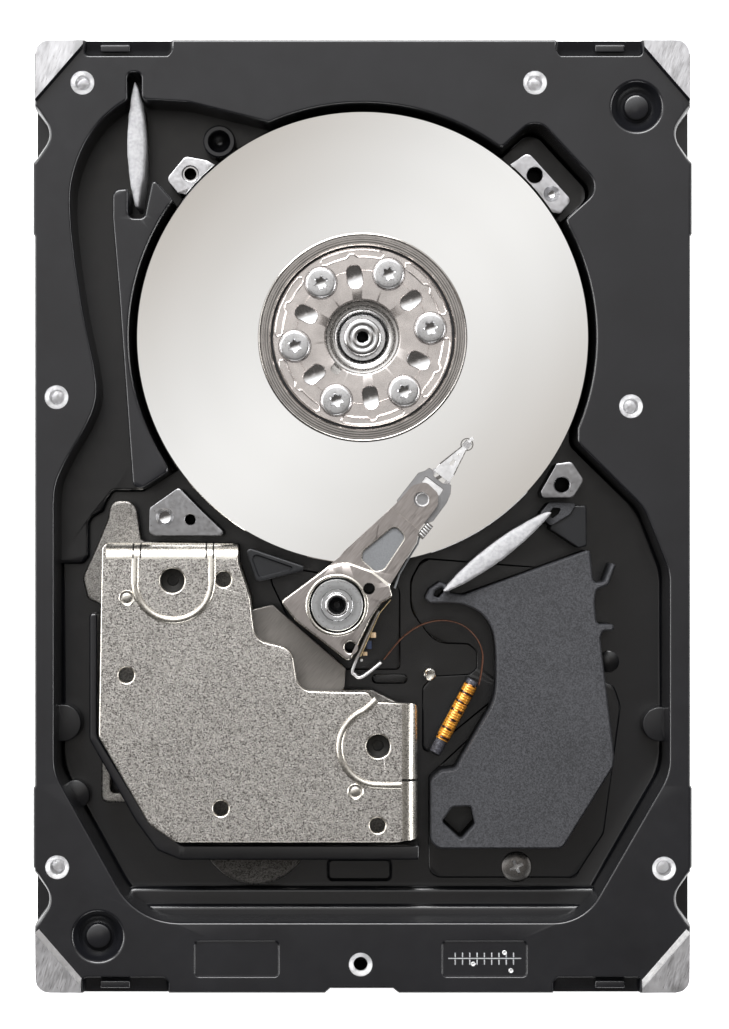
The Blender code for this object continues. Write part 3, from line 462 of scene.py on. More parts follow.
class Finish:
    """A Principled material and the short ways to wire it up, in millimetres."""

    def __init__(self, name, colour, roughness, metallic=0.0, **sockets):
        self.material = bpy.data.materials.new(name)
        self.material.use_nodes = True
        self.tree = self.material.node_tree
        self.shader = self.tree.nodes["Principled BSDF"]
        self.shader.inputs["Base Color"].default_value = (*colour, 1.0)
        self.shader.inputs["Roughness"].default_value = roughness
        self.shader.inputs["Metallic"].default_value = metallic
        for socket, value in sockets.items():
            self.shader.inputs[socket.replace("_", " ")].default_value = value
        self.height = None
        self.place = add_node(self.tree, "ShaderNodeTexCoord").outputs["Object"]

    def stretched(self, scale, turn=0.0):
        """Object coordinates turned about Z, then scaled."""
        turned_place = add_node(self.tree, "ShaderNodeMapping",
                                {"Vector": self.place, "Rotation": (0, 0, math.radians(turn))})
        return add_node(self.tree, "ShaderNodeMapping",
                        {"Vector": turned_place.outputs[0], "Scale": scale}).outputs[0]

    def noise(self, size, detail=3.0, place=None):
        """Noise whose lumps are about size across."""
        return add_node(self.tree, "ShaderNodeTexNoise",
                        {"Vector": place or self.place, "Scale": 1.0 / (size * MM),
                         "Detail": detail}).outputs["Fac"]

    def cells(self, size, feature="F1", output="Distance"):
        """Voronoi cells about size across."""
        return add_node(self.tree, "ShaderNodeTexVoronoi",
                        {"Vector": self.place, "Scale": 1.0 / (size * MM)},
                        feature=feature).outputs[output]

    def distance(self, centre):
        """Distance from a vertical axis, in millimetres."""
        moved = add_node(self.tree, "ShaderNodeVectorMath",
                         {0: self.place, 1: (centre[0] * MM, centre[1] * MM, 0.0)},
                         operation="SUBTRACT").outputs[0]
        flat = add_node(self.tree, "ShaderNodeVectorMath",
                        {0: moved, 1: (1.0 / MM, 1.0 / MM, 0.0)}, operation="MULTIPLY").outputs[0]
        return add_node(self.tree, "ShaderNodeVectorMath", {0: flat},
                        operation="LENGTH").outputs["Value"]

    def mix(self, first, share, second, other_share):
        """Two values weighted and added."""
        return self.math("ADD", self.math("MULTIPLY", first, share),
                         self.math("MULTIPLY", second, other_share))

    def math(self, operation, first, second=0.0):
        """One step of arithmetic."""
        return add_node(self.tree, "ShaderNodeMath", {0: first, 1: second},
                        operation=operation).outputs[0]

    def stripes(self, value, period, sharp=1.0):
        """A wave from 0 to 1 along a value in millimetres."""
        wave = self.math("SINE", self.math("MULTIPLY", value, 2 * math.pi / period))
        # the node's third input, which is added, stays at its default of 0.5
        return self.math("POWER", self.math("MULTIPLY_ADD", wave, 0.5), sharp)

    def ramp(self, value, *stops):
        """Colour along a value: stops are (position, colour)."""
        node = add_node(self.tree, "ShaderNodeValToRGB", {"Fac": value})
        elements = node.color_ramp.elements
        while len(elements) < len(stops):
            elements.new(0.5)
        for element, (position, colour) in zip(elements, stops):
            element.position = position
            element.color = (*colour, 1.0)
        return node.outputs["Color"]

    def spread(self, value, low, high, start=0.3, end=0.7):
        """A value's range from start to end, turned into low to high."""
        return add_node(self.tree, "ShaderNodeMapRange",
                        {"Value": value, "From Min": start, "From Max": end,
                         "To Min": low, "To Max": high}).outputs["Result"]

    def colour(self, value):
        """Drive the base colour."""
        self.tree.links.new(value, self.shader.inputs["Base Color"])
        return self

    def rough(self, value, low, high, start=0.3, end=0.7):
        """Drive the roughness between two numbers."""
        self.tree.links.new(self.spread(value, low, high, start, end),
                            self.shader.inputs["Roughness"])
        return self

    def bump(self, height, depth):
        """Add relief of a depth in millimetres."""
        inputs = {"Height": height, "Distance": depth * MM, "Strength": 1.0}
        if self.height:
            inputs["Normal"] = self.height
        self.height = add_node(self.tree, "ShaderNodeBump", inputs).outputs["Normal"]
        self.tree.links.new(self.height, self.shader.inputs["Normal"])
        return self


def black_coat_finish(name, roughness, shine=0.72):
    """Electrocoat on die-cast aluminium: glossy black with a faint orange peel."""
    finish = Finish(name, (0.006, 0.0063, 0.0078), roughness, Specular_IOR_Level=shine)
    finish.colour(finish.ramp(finish.noise(9.0), (0.3, (0.0048, 0.005, 0.0064)),
                              (0.7, (0.0070, 0.0073, 0.0092))))
    finish.rough(finish.noise(2.2, 4.0), roughness - 0.02, roughness + 0.02)
    finish.bump(finish.noise(0.2, 2.0), 0.0030).bump(finish.noise(1.3), 0.003)
    return finish.material


def machined_finish(name, colour, roughness):
    """Bare aluminium with the fine streaks of a face mill."""
    turn = 20.0
    finish = Finish(name, colour, roughness, 1.0)
    streaks = finish.noise(1.0, 4.0, finish.stretched((7.0, 0.55, 1.0), turn))
    patches = finish.noise(1.6, 3.0, finish.stretched((1.0, 0.5, 1.0), turn))
    dark, middle, light = shades(colour, 0.72, 1.0, 1.12)
    finish.colour(finish.ramp(patches, (0.32, dark), (0.5, middle), (0.68, light)))
    finish.rough(streaks, roughness - 0.08, roughness + 0.14)
    finish.bump(streaks, 0.006)
    return finish.material


def turned_finish(name, colour, roughness, centre, period=0.14):
    """Metal turned on a lathe: fine rings about its axis."""
    finish = Finish(name, colour, roughness, 1.0)
    radius = finish.distance(centre)
    uneven = finish.math("ADD", radius, finish.math("MULTIPLY", finish.noise(3.0), 0.05))
    rings = finish.stripes(uneven, period)
    bands = finish.stripes(radius, period * 7.3)
    dark, light = shades(colour, 0.82, 1.05)
    finish.colour(finish.ramp(bands, (0.1, dark), (0.9, light)))
    finish.rough(finish.noise(0.5), roughness - 0.04, roughness + 0.06)
    finish.bump(rings, 0.0012)
    return finish.material


def plated_finish(name, dark, light, roughness):
    """Nickel over etched steel: a salt-and-pepper crystal sparkle."""
    finish = Finish(name, light, roughness, 1.0)
    grains = finish.cells(0.14, output="Color")
    tone = add_node(finish.tree, "ShaderNodeSeparateColor", {"Color": grains}).outputs[0]
    soft = finish.noise(0.22, 3.0)
    cloudy = finish.mix(finish.mix(tone, 0.62, soft, 0.5), 1.0, finish.noise(7.0), 0.12)
    middle = tuple((a + b) / 2 for a, b in zip(dark, light))
    finish.colour(finish.ramp(cloudy, (0.30, dark), (0.60, middle), (0.95, light)))
    finish.rough(tone, roughness - 0.10, roughness + 0.08, 0.0, 1.0)
    finish.bump(soft, 0.02).bump(tone, 0.008)
    return finish.material


def metal_finish(name, colour, roughness, grain=0.25, depth=0.003):
    """Plain metal with a fine uneven grain."""
    finish = Finish(name, colour, roughness, 1.0)
    fine = finish.noise(grain, 3.0)
    dark, light = shades(colour, 0.86, 1.08)
    finish.colour(finish.ramp(finish.noise(2.4), (0.3, dark), (0.7, light)))
    finish.rough(fine, roughness - 0.05, roughness + 0.08)
    finish.bump(fine, depth)
    return finish.material


def brushed_finish(name, colour, roughness, turn):
    """Metal sheet with a grain along one direction."""
    finish = Finish(name, colour, roughness, 1.0)
    grain = finish.noise(1.0, 5.0, finish.stretched((0.5, 9.0, 9.0), turn))
    speckle = finish.noise(0.14, 2.0)
    dark, light = shades(colour, 0.80, 1.12)
    finish.colour(finish.ramp(grain, (0.3, dark), (0.7, light)))
    finish.rough(grain, roughness - 0.06, roughness + 0.10)
    finish.bump(grain, 0.002).bump(speckle, 0.003)
    return finish.material


def plastic_finish(name, dark, light, roughness, grain=0.2, depth=0.006):
    """Moulded plastic with a spark-eroded grain."""
    finish = Finish(name, light, roughness)
    fine = finish.noise(grain, 3.0)
    tone = finish.mix(fine, 0.8, finish.noise(11.0), 0.2)
    finish.colour(finish.ramp(tone, (0.38, dark), (0.62, light)))
    finish.rough(fine, roughness - 0.06, roughness + 0.08)
    finish.bump(fine, depth)
    return finish.material


def media_finish():
    """The magnetic coating on a polished disk: a mirror with a warm tint."""
    finish = Finish("platter_media", (0.79, 0.785, 0.77), 0.07, 1.0)
    radius = finish.distance(SPINDLE)
    zones = finish.stripes(finish.math("ADD", radius, finish.noise(14.0)), 9.0)
    finish.colour(finish.ramp(zones, (0.0, (0.786, 0.780, 0.764)), (1.0, (0.795, 0.789, 0.774))))
    finish.rough(finish.noise(20.0), 0.065, 0.08)
    finish.bump(finish.stripes(radius, 0.35), 0.00001)
    return finish.material


def fabric_finish():
    """Non-woven filter cloth: white fibres over a fine rib."""
    finish = Finish("filter_fabric", (0.36, 0.36, 0.37), 0.9, Sheen_Weight=0.1)
    fibres = finish.noise(1.0, 4.0, finish.stretched((2.2, 2.2, 0.5)))
    up = add_node(finish.tree, "ShaderNodeSeparateXYZ", {"Vector": finish.place}).outputs["Z"]
    ribs = finish.stripes(finish.math("MULTIPLY", up, 1.0 / MM), 0.42)
    finish.colour(finish.ramp(fibres, (0.3, (0.30, 0.30, 0.315)), (0.65, (0.41, 0.41, 0.42))))
    finish.bump(fibres, 0.03).bump(ribs, 0.03)
    return finish.material


def winding_finish(name, centre, colour, period):
    """Enamelled copper wire wound round and round."""
    finish = Finish(name, colour, 0.32, 0.85, Coat_Weight=0.4)
    wire = finish.stripes(finish.distance(centre), period, 0.5)
    dark, light = shades(colour, 0.35, 1.0)
    finish.colour(finish.ramp(wire, (0.0, dark), (0.6, light)))
    finish.bump(wire, 0.05).bump(finish.noise(0.4), 0.01)
    return finish.material


def amber_finish(name, start, direction, period):
    """Polyimide film wound on a bar: gold with thin dark turns."""
    finish = Finish(name, (0.80, 0.30, 0.03), 0.20, 0.5, Coat_Weight=0.9, Coat_Roughness=0.06)
    along = add_node(finish.tree, "ShaderNodeVectorMath",
                     {0: finish.place, 1: (direction[0] / MM, direction[1] / MM, 0.0)},
                     operation="DOT_PRODUCT").outputs["Value"]
    moved = finish.math("SUBTRACT", along, start)
    turns = finish.stripes(moved, period, 9.0)
    winding = finish.stripes(moved, 0.42, 1.5)
    gaps = finish.spread(finish.noise(1.1, 1.0), 0.0, 1.0, 0.42, 0.56)
    broken = finish.math("MULTIPLY", turns, gaps)
    shaded = finish.math("ADD", broken, finish.math("MULTIPLY", winding, 0.16))
    film = finish.ramp(finish.math("ADD", shaded, finish.math("MULTIPLY", finish.noise(0.5), 0.14)),
                       (0.06, (0.90, 0.42, 0.05)), (0.24, (0.60, 0.20, 0.015)),
                       (0.55, (0.02, 0.008, 0.004)))
    finish.colour(film).bump(winding, 0.05).bump(finish.noise(0.3), 0.008)
    return finish.material


def board_finish():
    """Green solder mask over copper tracks."""
    finish = Finish("board_laminate", (0.02, 0.12, 0.05), 0.35, Coat_Weight=0.5)
    tracks = finish.cells(2.4, "DISTANCE_TO_EDGE")
    finish.colour(finish.ramp(tracks, (0.03, (0.05, 0.22, 0.08)), (0.09, (0.012, 0.09, 0.035))))
    finish.bump(tracks, 0.03).bump(finish.noise(0.3), 0.01)
    return finish.material


def floor_finish():
    """A pale sweep of paper, bright enough to wash out its own shadows."""
    finish = Finish("paper", (0.92, 0.92, 0.92), 0.8, Emission_Strength=0.8)
    finish.shader.inputs["Emission Color"].default_value = (1.0, 1.0, 1.0, 1.0)
    finish.colour(finish.ramp(finish.noise(120.0), (0.3, (0.91, 0.91, 0.91)),
                              (0.7, (0.93, 0.93, 0.93))))
    return finish.material


BLACK_COAT = black_coat_finish("black_coat", 0.24)
SIDE_COAT = black_coat_finish("side_coat", 0.38, 0.30)
MACHINED = machined_finish("machined_aluminium", (0.62, 0.62, 0.64), 0.34)
PAD_METAL = metal_finish("pad_aluminium", (0.62, 0.62, 0.64), 0.34, 0.6, 0.002)
DULL_METAL = metal_finish("dull_aluminium", (0.36, 0.36, 0.37), 0.32, 0.6, 0.002)
BRIGHT_METAL = metal_finish("bright_aluminium", (0.88, 0.88, 0.89), 0.42)
CAST_METAL = metal_finish("cast_aluminium", (0.55, 0.56, 0.58), 0.45, 0.5, 0.02)
TURNED_METAL = turned_finish("turned_aluminium", (0.74, 0.73, 0.72), 0.24, SPINDLE)
CLAMP_METAL = metal_finish("clamp_steel", (0.77, 0.725, 0.705), 0.24, 0.12, 0.001)
# a darker copy of the clamp's steel for its ridged rim: painted shade
RIM_PAINTED_SHADE = metal_finish("clamp_rim_painted_shade", (0.47, 0.445, 0.425), 0.20, 0.12, 0.001)
BLOCK_METAL = brushed_finish("block_aluminium", (0.36, 0.33, 0.315), 0.38, -ARM_DIRECTION)
CARRIER_METAL = brushed_finish("carrier_aluminium", (0.26, 0.245, 0.23), 0.42, -COIL_DIRECTION)
BEARING_METAL = turned_finish("bearing_steel", (0.52, 0.53, 0.54), 0.30, PIVOT, 0.21)
POLISHED_STEEL = metal_finish("polished_steel", (0.74, 0.74, 0.75), 0.18)
SCREW_STEEL = metal_finish("screw_steel", (0.66, 0.66, 0.67), 0.30)
DARK_STEEL = metal_finish("dark_steel", (0.26, 0.25, 0.24), 0.30)
PANEL_GREY = plastic_finish("panel_grey", (0.12, 0.124, 0.13), (0.16, 0.166, 0.175), 0.6,
                            0.15, 0.003)
SPOILER_BLACK = plastic_finish("spoiler_black", (0.0045, 0.005, 0.006), (0.0075, 0.008, 0.010),
                               0.38)
MOUNT_STEEL = metal_finish("mount_steel", (0.38, 0.38, 0.39), 0.36, 0.15)
STAINLESS = brushed_finish("stainless_spring", (0.76, 0.76, 0.78), 0.24, -ARM_DIRECTION)
LAMINATED = metal_finish("laminated_steel", (0.35, 0.35, 0.36), 0.5)
PLATED = plated_finish("plated_steel", (0.20, 0.19, 0.18), (0.77, 0.74, 0.705), 0.34)
# a darker copy of the plated steel for the lower yoke: painted shade, as it lies under the upper
# yoke
PLATED_PAINTED_SHADE = plated_finish("lower_plated_steel_painted_shade", (0.17, 0.162, 0.155), (0.58, 0.56, 0.53), 0.38)
# a still darker copy of the plated steel: painted shadow of the motor shield on the lower yoke's
# lobe
LOBE_PAINTED_SHADOW = plated_finish("lobe_painted_shadow", (0.03, 0.029, 0.027), (0.18, 0.173, 0.165), 0.40)
# bright plated metal for bent and rounded edges; on the actuator block it is partly a painted
# highlight along its edges
PLATED_EDGE_AND_HIGHLIGHT = metal_finish("plated_edge_and_painted_highlight", (0.66, 0.63, 0.575), 0.27)
NICKEL = metal_finish("nickel_plate", (0.62, 0.60, 0.56), 0.22)
MEDIA = media_finish()
COPPER = winding_finish("copper_winding", SPINDLE, (0.72, 0.34, 0.15), 0.32)
COIL_COPPER = winding_finish("coil_winding", PIVOT, (0.70, 0.33, 0.15), 0.26)
GILT = metal_finish("gilt_brass", (0.82, 0.66, 0.40), 0.24)
MAGNET_BLACK = plastic_finish("bonded_magnet", (0.03, 0.03, 0.03), (0.07, 0.07, 0.07), 0.5)
BLACK_PLASTIC = plastic_finish("black_plastic", (0.012, 0.013, 0.015), (0.022, 0.023, 0.026), 0.42,
                               0.12, 0.004)
GREY_PLASTIC = plastic_finish("grey_plastic", (0.014, 0.0145, 0.017), (0.044, 0.045, 0.051), 0.52,
                              0.22, 0.008)
BLACK_RUBBER = plastic_finish("black_rubber", (0.02, 0.02, 0.02), (0.035, 0.035, 0.035), 0.75)
FABRIC = fabric_finish()
BOARD = board_finish()
WINDOW_BLACK = plastic_finish("smoked_cap", (0.03, 0.03, 0.035), (0.10, 0.10, 0.12), 0.15)
TAN_PART = plastic_finish("ceramic_tan", (0.42, 0.30, 0.18), (0.55, 0.42, 0.28), 0.4)
FLEX_FILM = plastic_finish("flex_film", (0.05, 0.017, 0.008), (0.12, 0.043, 0.02), 0.35)
BLUE_PART = plastic_finish("chip_blue", (0.02, 0.03, 0.07), (0.04, 0.06, 0.12), 0.35)

# ---------------------------------------------------------------- the casting

SIDE = 50.55                    # half the width between the raised stretches of the sides
NOTCH = [(-5.8, -HALF_LENGTH), (-5.0, -72.8), (4.7, -72.8), (5.6, -HALF_LENGTH)]
RIGHT_SIDE = [(SIDE, -HALF_LENGTH, 2.2), (SIDE, -54.4), (HALF_WIDTH, -54.0), (HALF_WIDTH, -41.9),
              (SIDE, -41.5), (SIDE, 43.2), (HALF_WIDTH, 43.6), (HALF_WIDTH, 55.2), (SIDE, 55.6),
              (SIDE, HALF_LENGTH, 2.2)]
OUTLINE = rounded(NOTCH + both_sides(RIGHT_SIDE, axis=0))
SCREW_HOLES = [(-43.2, 66.9), (26.6, 66.9), (-47.2, 18.4), (41.4, 17.0), (-47.1, -54.1),
               (46.5, -54.3), (-0.3, -69.1)]
SIDE_HOLES_Y = [-45.0, -3.4, 56.6]
SIDE_HOLE_HEIGHT = 6.35
BOARD_BAY_TOP = 4.4             # underside of the chamber's floor
WINDOW_DEPTH = 0.35
HOUSING_SCREW = centre_of("housing_screw")
PIN_WELL = (-22.3, 58.3)
NUT_HOLE = (-26.7, 53.1)


def pocket_outline():
    """The chamber's outline at the deck."""
    corners = [(-36.3, 64.3, 0.7), (-36.3, 68.5, 0.9), (-34.1, 68.5, 0.9), (-34.1, 64.3, 0.9),
               (-27.0, 63.9, 6.0), (-18.5, 61.8, 4.0)]
    corners += arc(SPINDLE, SHROUD_RADIUS, 113.6, 56.0, 40)
    corners += [(21.4, 56.8, 0.9), (26.8, 61.6, 2.6), (36.8, 50.8, 2.6), (31.4, 45.9, 0.9)]
    corners += arc(SPINDLE, SHROUD_RADIUS, 28.5, -23.0, 36)
    corners += [(33.2, 11.4, 1.5), (43.5, 1.2, 8.0), (47.35, -8.5, 8.0), (47.35, -39.6, 8.0),
                (34.1, -62.65, 8.0), (-34.8, -62.65, 11.0), (-47.6, -39.5, 8.0)]
    left_wall = [(-47.6, 2.0), (-47.2, 5.2), (-45.6, 8.8), (-42.6, 14.0), (-41.1, 18.3),
                 (-41.4, 23.0), (-43.2, 32.0), (-44.6, 41.5), (-45.1, 48.5), (-44.6, 52.8),
                 (-43.0, 57.2), (-40.6, 60.8), (-38.2, 63.0), (-36.9, 63.9)]
    return rounded(corners + smooth(left_wall, 5), 10)


def rim_levels(rim, steps, above):
    """Levels of a cutter that leaves the deck with a rounded rim, up to a height above."""
    levels = []
    for step in range(steps + 1):
        angle = math.pi / 2 * step / steps
        levels.append((-rim * (1 - math.cos(angle)), DECK - rim * (1 - math.sin(angle))))
    return levels + [(-rim, DECK + above)]


def pocket_cutter():
    """The chamber, with a rounded foot, a little draft and a rounded rim."""
    foot, draft = 0.5, 0.12
    levels = [(foot + draft, FLOOR), (foot * 0.4 + draft, FLOOR + foot * 0.2),
              (foot * 0.1 + draft, FLOOR + foot * 0.6), (draft, FLOOR + foot)]
    return plate(pocket_outline(), levels + rim_levels(0.35, 4, 4.0))


def shroud_outline():
    """The wall beside the platters, with the seat for one end of a filter."""
    corners = [(-38.6, 50.5, 1.2), (-36.2, 50.7, 0.5), (-36.2, 46.1, 0.9), (-33.7, 46.1, 0.9),
               (-32.4, 52.4, 0.5)]
    corners += arc(SPINDLE, SHROUD_RADIUS, 144.2, 211.9, 44)
    corners += [(-29.8, 7.0, 0.8), (-35.4, 3.4, 1.2), (-37.6, 34.1), (-38.6, 46.0)]
    return rounded(corners)


def corner_pads(bm):
    """The four bare corner pads, which stand above the deck with one sloped side."""
    reach_x, reach_y, inset = 8.1, 9.3, 0.06
    for side in (-1, 1):
        for end, slope in ((-1, 0.75), (1, 0.28)):
            x, y = side * (SIDE - inset), end * (HALF_LENGTH - inset)
            corners = [(x, y, 2.2), (x - side * reach_x, y), (x, y - end * reach_y)]
            outline = rounded(corners, 8)
            along = (side * reach_y, end * reach_x)
            length = math.hypot(*along)
            normal = (-along[0] / length * slope, -along[1] / length * slope)

            def place(px, py, height, x=x, y=y, normal=normal):
                on_slope = abs(px - x) / reach_x + abs(py - y) / reach_y > 0.97
                low = height < CASE_TOP - 0.3 and on_slope
                return (px + normal[0] * low, py + normal[1] * low, height)

            add_plate(bm, outline, [(0, DECK - 3.0), (0, DECK), (0, CASE_TOP - 0.2),
                                    (0.15, CASE_TOP)], place=place)


def damper_dishes(bm):
    """Two round dishes in the deck, each with a raised centre."""
    for centre in ((42.3, 63.2), (-40.8, -64.8)):
        top = DECK + 2.0
        add_turned(bm, [(0, DECK - 1.0), (1.55, DECK - 1.0), (1.8, DECK - 1.1),
                        (2.05, DECK - 1.9), (2.4, DECK - 2.1), (2.9, DECK - 1.9),
                        (3.4, DECK - 1.2), (3.75, DECK - 0.45), (3.9, DECK - 0.14),
                        (4.1, DECK - 0.03), (4.3, DECK), (4.3, top), (0, top)], centre, 64)


def label_windows(bm):
    """Two shallow label windows in the deck at the connector end."""
    foot = 0.15
    levels = [(foot, DECK - WINDOW_DEPTH), (0.0, DECK - WINDOW_DEPTH + foot)]
    for x_range in ((-25.9, -12.9), (12.3, 25.35)):
        add_plate(bm, rectangle(x_range, (-71.0, -65.5), 0.7), levels + rim_levels(0.2, 3, 3.0))


def edge_cutters(bm):
    """Ledges in the end edges and scallops in the side edges."""
    for end in (-1, 1):
        for side in (-1, 1):
            near, far = (43.2, 30.1) if side * end > 0 else (42.9, 29.6)
            ledge = [(side * near, end * 71.05, 0.6), (side * (far + 0.4), end * 71.05, 0.6),
                     (side * (far - 0.2), end * 71.9, 0.3), (side * (far - 0.2), end * 76.0),
                     (side * (near - 0.2), end * 76.0)]
            levels = [(0.2, DECK - 2.2), (0.05, DECK - 2.0), (0.0, DECK - 0.35),
                      (-0.07, DECK - 0.1), (-0.25, DECK), (-0.25, CASE_TOP + 2)]

            def tilted(x, y, height, end=end):
                rise = 0.45 * max(-1.3, min(1.3, y - end * 72.4))
                return (x, y, height + rise * (height < DECK - 1.0))

            add_plate(bm, rounded(ledge), levels, place=tilted)
            scallop = [(side * 53.0, end * 59.0 - 6.6), (side * 50.2, end * 59.0 - 4.2, 6.0),
                       (side * 47.4, end * 59.0, 3.4), (side * 50.2, end * 59.0 + 4.2, 6.0),
                       (side * 53.0, end * 59.0 + 6.6)]
            levels = [(0.5, DECK - 6.0), (0.3, DECK - 1.1), (0.2, DECK - 0.6),
                      (0.05, DECK - 0.2), (-0.07, DECK - 0.06), (-0.25, DECK),
                      (-0.25, CASE_TOP + 2)]
            add_plate(bm, rounded(scallop, 10), levels)


def ledge_tabs(bm):
    """The small tab that stands in each ledge."""
    for end in (-1, 1):
        for side in (-1, 1):
            add_plate(bm, rectangle((side * 38.2 - 2.3, side * 38.2 + 2.3),
                                    (end * 72.25 - 0.55, end * 72.25 + 0.55), 0.25),
                      edges(DECK - 7.0, DECK - 0.9, 0.0, 0.2))


def screw_hole_cutters(bm):
    """The cover's tapped holes, each with a broad bare countersink."""
    for index, centre in enumerate(SCREW_HOLES):
        depth = 11.0 if index == len(SCREW_HOLES) - 1 else 4.2
        top = DECK + 1.0
        add_turned(bm, [(0, DECK - depth - 0.5), (1.0, DECK - depth), (1.08, DECK - 0.85),
                        (1.2, DECK - 0.7), (1.72, DECK - 0.2), (1.84, DECK - 0.02),
                        (1.84, top), (0, top)], centre, 40)


def side_hole_cutters(bm):
    """The three tapped and countersunk holes in each long side."""
    for side in (-1, 1):
        for y in SIDE_HOLES_Y:
            add_plate(bm, circle((y, SIDE_HOLE_HEIGHT), 1.4, 32),
                      [(0.2, 47.6), (0.0, 47.8), (0.0, 49.9), (-0.45, 50.55), (-0.6, 52.0)],
                      place=lambda u, v, w, side=side: (side * w, u, v))


def side_reliefs(bm):
    """Long shallow panels in the sides, between the tapped holes."""
    spans = [(-38.5, -10.0), (3.5, 38.5)]
    for side in (-1, 1):
        for start, finish in spans:
            add_plate(bm, rectangle((start, finish), (3.6, 19.5), 1.5),
                      [(0.3, 50.25), (0.0, 50.45), (-0.1, 52.0)],
                      place=lambda u, v, w, side=side: (side * w, u, v))


def boss_tops(bm):
    """Bosses beside the platters and the tall shroud wall."""
    root = FLOOR - 0.5
    beside_platters = PLATTER_RADIUS + 0.25
    nut_pad = [(-28.6, 50.1, 0.5), (-30.4, 52.3, 0.9), (-27.5, 55.8, 0.9), (-24.2, 55.2, 0.9)]
    nut_pad += arc(SPINDLE, beside_platters, 130.5, 141.0, 10)
    corner_pad = [(25.7, 56.4, 0.9), (32.4, 49.0, 0.9), (30.6, 46.9, 0.4)]
    corner_pad += arc(SPINDLE, beside_platters, 33.4, 49.6, 12)
    diamond_pad = [(30.1, 8.2, 0.5), (32.4, 8.5, 0.7), (34.3, 5.6, 0.7), (32.6, 2.9, 0.7),
                   (27.9, 2.9, 0.5), (27.6, 3.8, 0.5)]
    triangle_pad = [(-28.5, 4.5, 0.6), (-33.0, 1.3, 0.7), (-33.1, -3.0, 0.9),
                    (-20.9, -3.0, 0.5), (-25.0, 0.9, 0.5)]
    for pad in (nut_pad, corner_pad, diamond_pad, triangle_pad):
        add_plate(bm, rounded(pad), edges(root, PAD_TOP, 0.0, 0.14, 2))
    add_turned(bm, [(0, root), (2.5, root), (2.5, PAD_TOP - 2.2), (2.3, PAD_TOP - 2.0),
                    (0, PAD_TOP - 2.0)], PIN_WELL, 40)
    add_plate(bm, shroud_outline(), edges(root, SHROUD_TOP, 0.0, 0.4))


def add_holes(bm, holes):
    """Cutters for round holes (centre, radius, depth, chamfer) in the pads."""
    top = PAD_TOP + 1.0
    for centre, radius, depth, rim in holes:
        add_turned(bm, [(0, PAD_TOP - depth - 0.4), (radius, PAD_TOP - depth),
                        (radius, PAD_TOP - rim), (radius + rim, PAD_TOP), (radius + rim, top),
                        (0, top)], centre, 32)


def pad_holes(bm):
    """Tapped holes in the machined pads, lined with black as painted shade inside."""
    add_holes(bm, [(NUT_HOLE, 0.95, 9.0, 0.1), ((26.7, 52.9), 1.25, 9.0, 0.1),
                   ((30.9, 4.9), 1.2, 9.0, 0.15), ((-26.7, -0.5), 0.85, 9.0, 0.1)])


def blind_holes(bm):
    """Shallow bare cones in two of the pads."""
    add_holes(bm, [((29.3, 50.0), 0.6, 1.0, 0.65), ((-30.65, -0.1), 0.9, 1.3, 0.5)])


def counterbores(bm):
    """The turned spot round the nut pad's hole."""
    add_turned(bm, [(0, PAD_TOP - 0.5), (1.15, PAD_TOP - 0.5), (1.28, PAD_TOP - 0.1),
                    (1.34, PAD_TOP), (1.34, PAD_TOP + 1), (0, PAD_TOP + 1)], NUT_HOLE, 40)


def pin_well(bm):
    """The well beside the nut pad, with a round foot."""
    add_turned(bm, [(0, PAD_TOP - 5.4), (0.7, PAD_TOP - 5.2), (1.3, PAD_TOP - 4.6),
                    (1.6, PAD_TOP - 3.6), (1.7, PAD_TOP - 2.1),
                    (1.85, PAD_TOP - 1.9), (1.85, PAD_TOP), (0, PAD_TOP)], PIN_WELL, 40)


def floor_levels(bm):
    """Seats, shelves and terraces that stand on the chamber's floor."""
    root = FLOOR - 0.5
    seat = bottom_of("lower_yoke") - 0.3
    terrace = [(-48.5, -7.5), (-44.1, -7.5, 0.8), (-43.1, -6.3, 0.8), (-43.1, -1.1, 0.8),
               (-42.6, -0.2, 0.8), (-40.9, 0.8, 0.8), (-40.3, 2.4, 0.8), (-39.3, 3.9, 0.8),
               (-34.5, 3.9, 0.8)]
    terrace += arc(SPINDLE, PLATTER_RADIUS + 0.6, 215.0, 100.0, 40) + [(-8.0, 70.0), (-48.5, 70.0)]
    add_plate(bm, rounded(terrace), edges(root, seat, 0.0, 0.6))
    add_plate(bm, rounded([(-44.0, -60.9, 1.0), (-36.0, -58.3, 3.0), (39.5, -58.3, 3.0),
                           (44.0, -60.9, 1.0), (44.0, -66.0), (-44.0, -66.0)]),
              edges(root, seat + 0.6, 0.0, 0.9, 5))
    yoke_seat = [(-38.0, -6.0, 2.0), (-20.5, -6.0, 1.0), (-19.5, -16.0, 3.0), (-13.0, -23.5, 3.0),
                 (-6.0, -29.0, 3.0), (5.0, -31.0, 2.0), (6.0, -47.5, 2.0), (-28.0, -47.5, 2.0),
                 (-38.0, -33.0, 2.0)]
    add_plate(bm, rounded(yoke_seat), edges(root, seat, 0.0, 0.4))


def upper_shelf(bm):
    """The second step of the shelf at the connector end."""
    root = FLOOR - 0.5
    add_plate(bm, rounded([(-41.0, -62.6, 1.0), (-34.0, -60.9, 3.0), (34.0, -60.9, 3.0),
                           (41.0, -62.6, 1.0), (41.0, -67.0), (-41.0, -67.0)]),
              edges(root, FLOOR + 5.5, 0.0, 0.9, 5))


def wall_bumps(bm):
    """Half-round bosses on the chamber's walls and low discs on its floor."""
    root = FLOOR - 0.5
    for centre, radius, height in (((46.6, -32.6), 2.7, 13.5), ((-47.0, -32.4), 2.9, 13.5),
                                   ((-45.2, -43.8), 2.3, 11.0)):
        add_turned(bm, [(0, root), (radius, root), (radius, height - 0.2),
                        (radius - 0.06, height - 0.06), (radius - 0.2, height), (0, height)],
                   centre, 40)
    for centre, radius in (((38.9, -23.0), 1.7), ((-43.5, 26.0), 1.5), ((33.0, -56.0), 1.3)):
        add_turned(bm, [(0, root), (radius, root), (radius, FLOOR + 0.15),
                        (radius - 0.2, FLOOR + 0.25), (0, FLOOR + 0.25)], centre, 32)


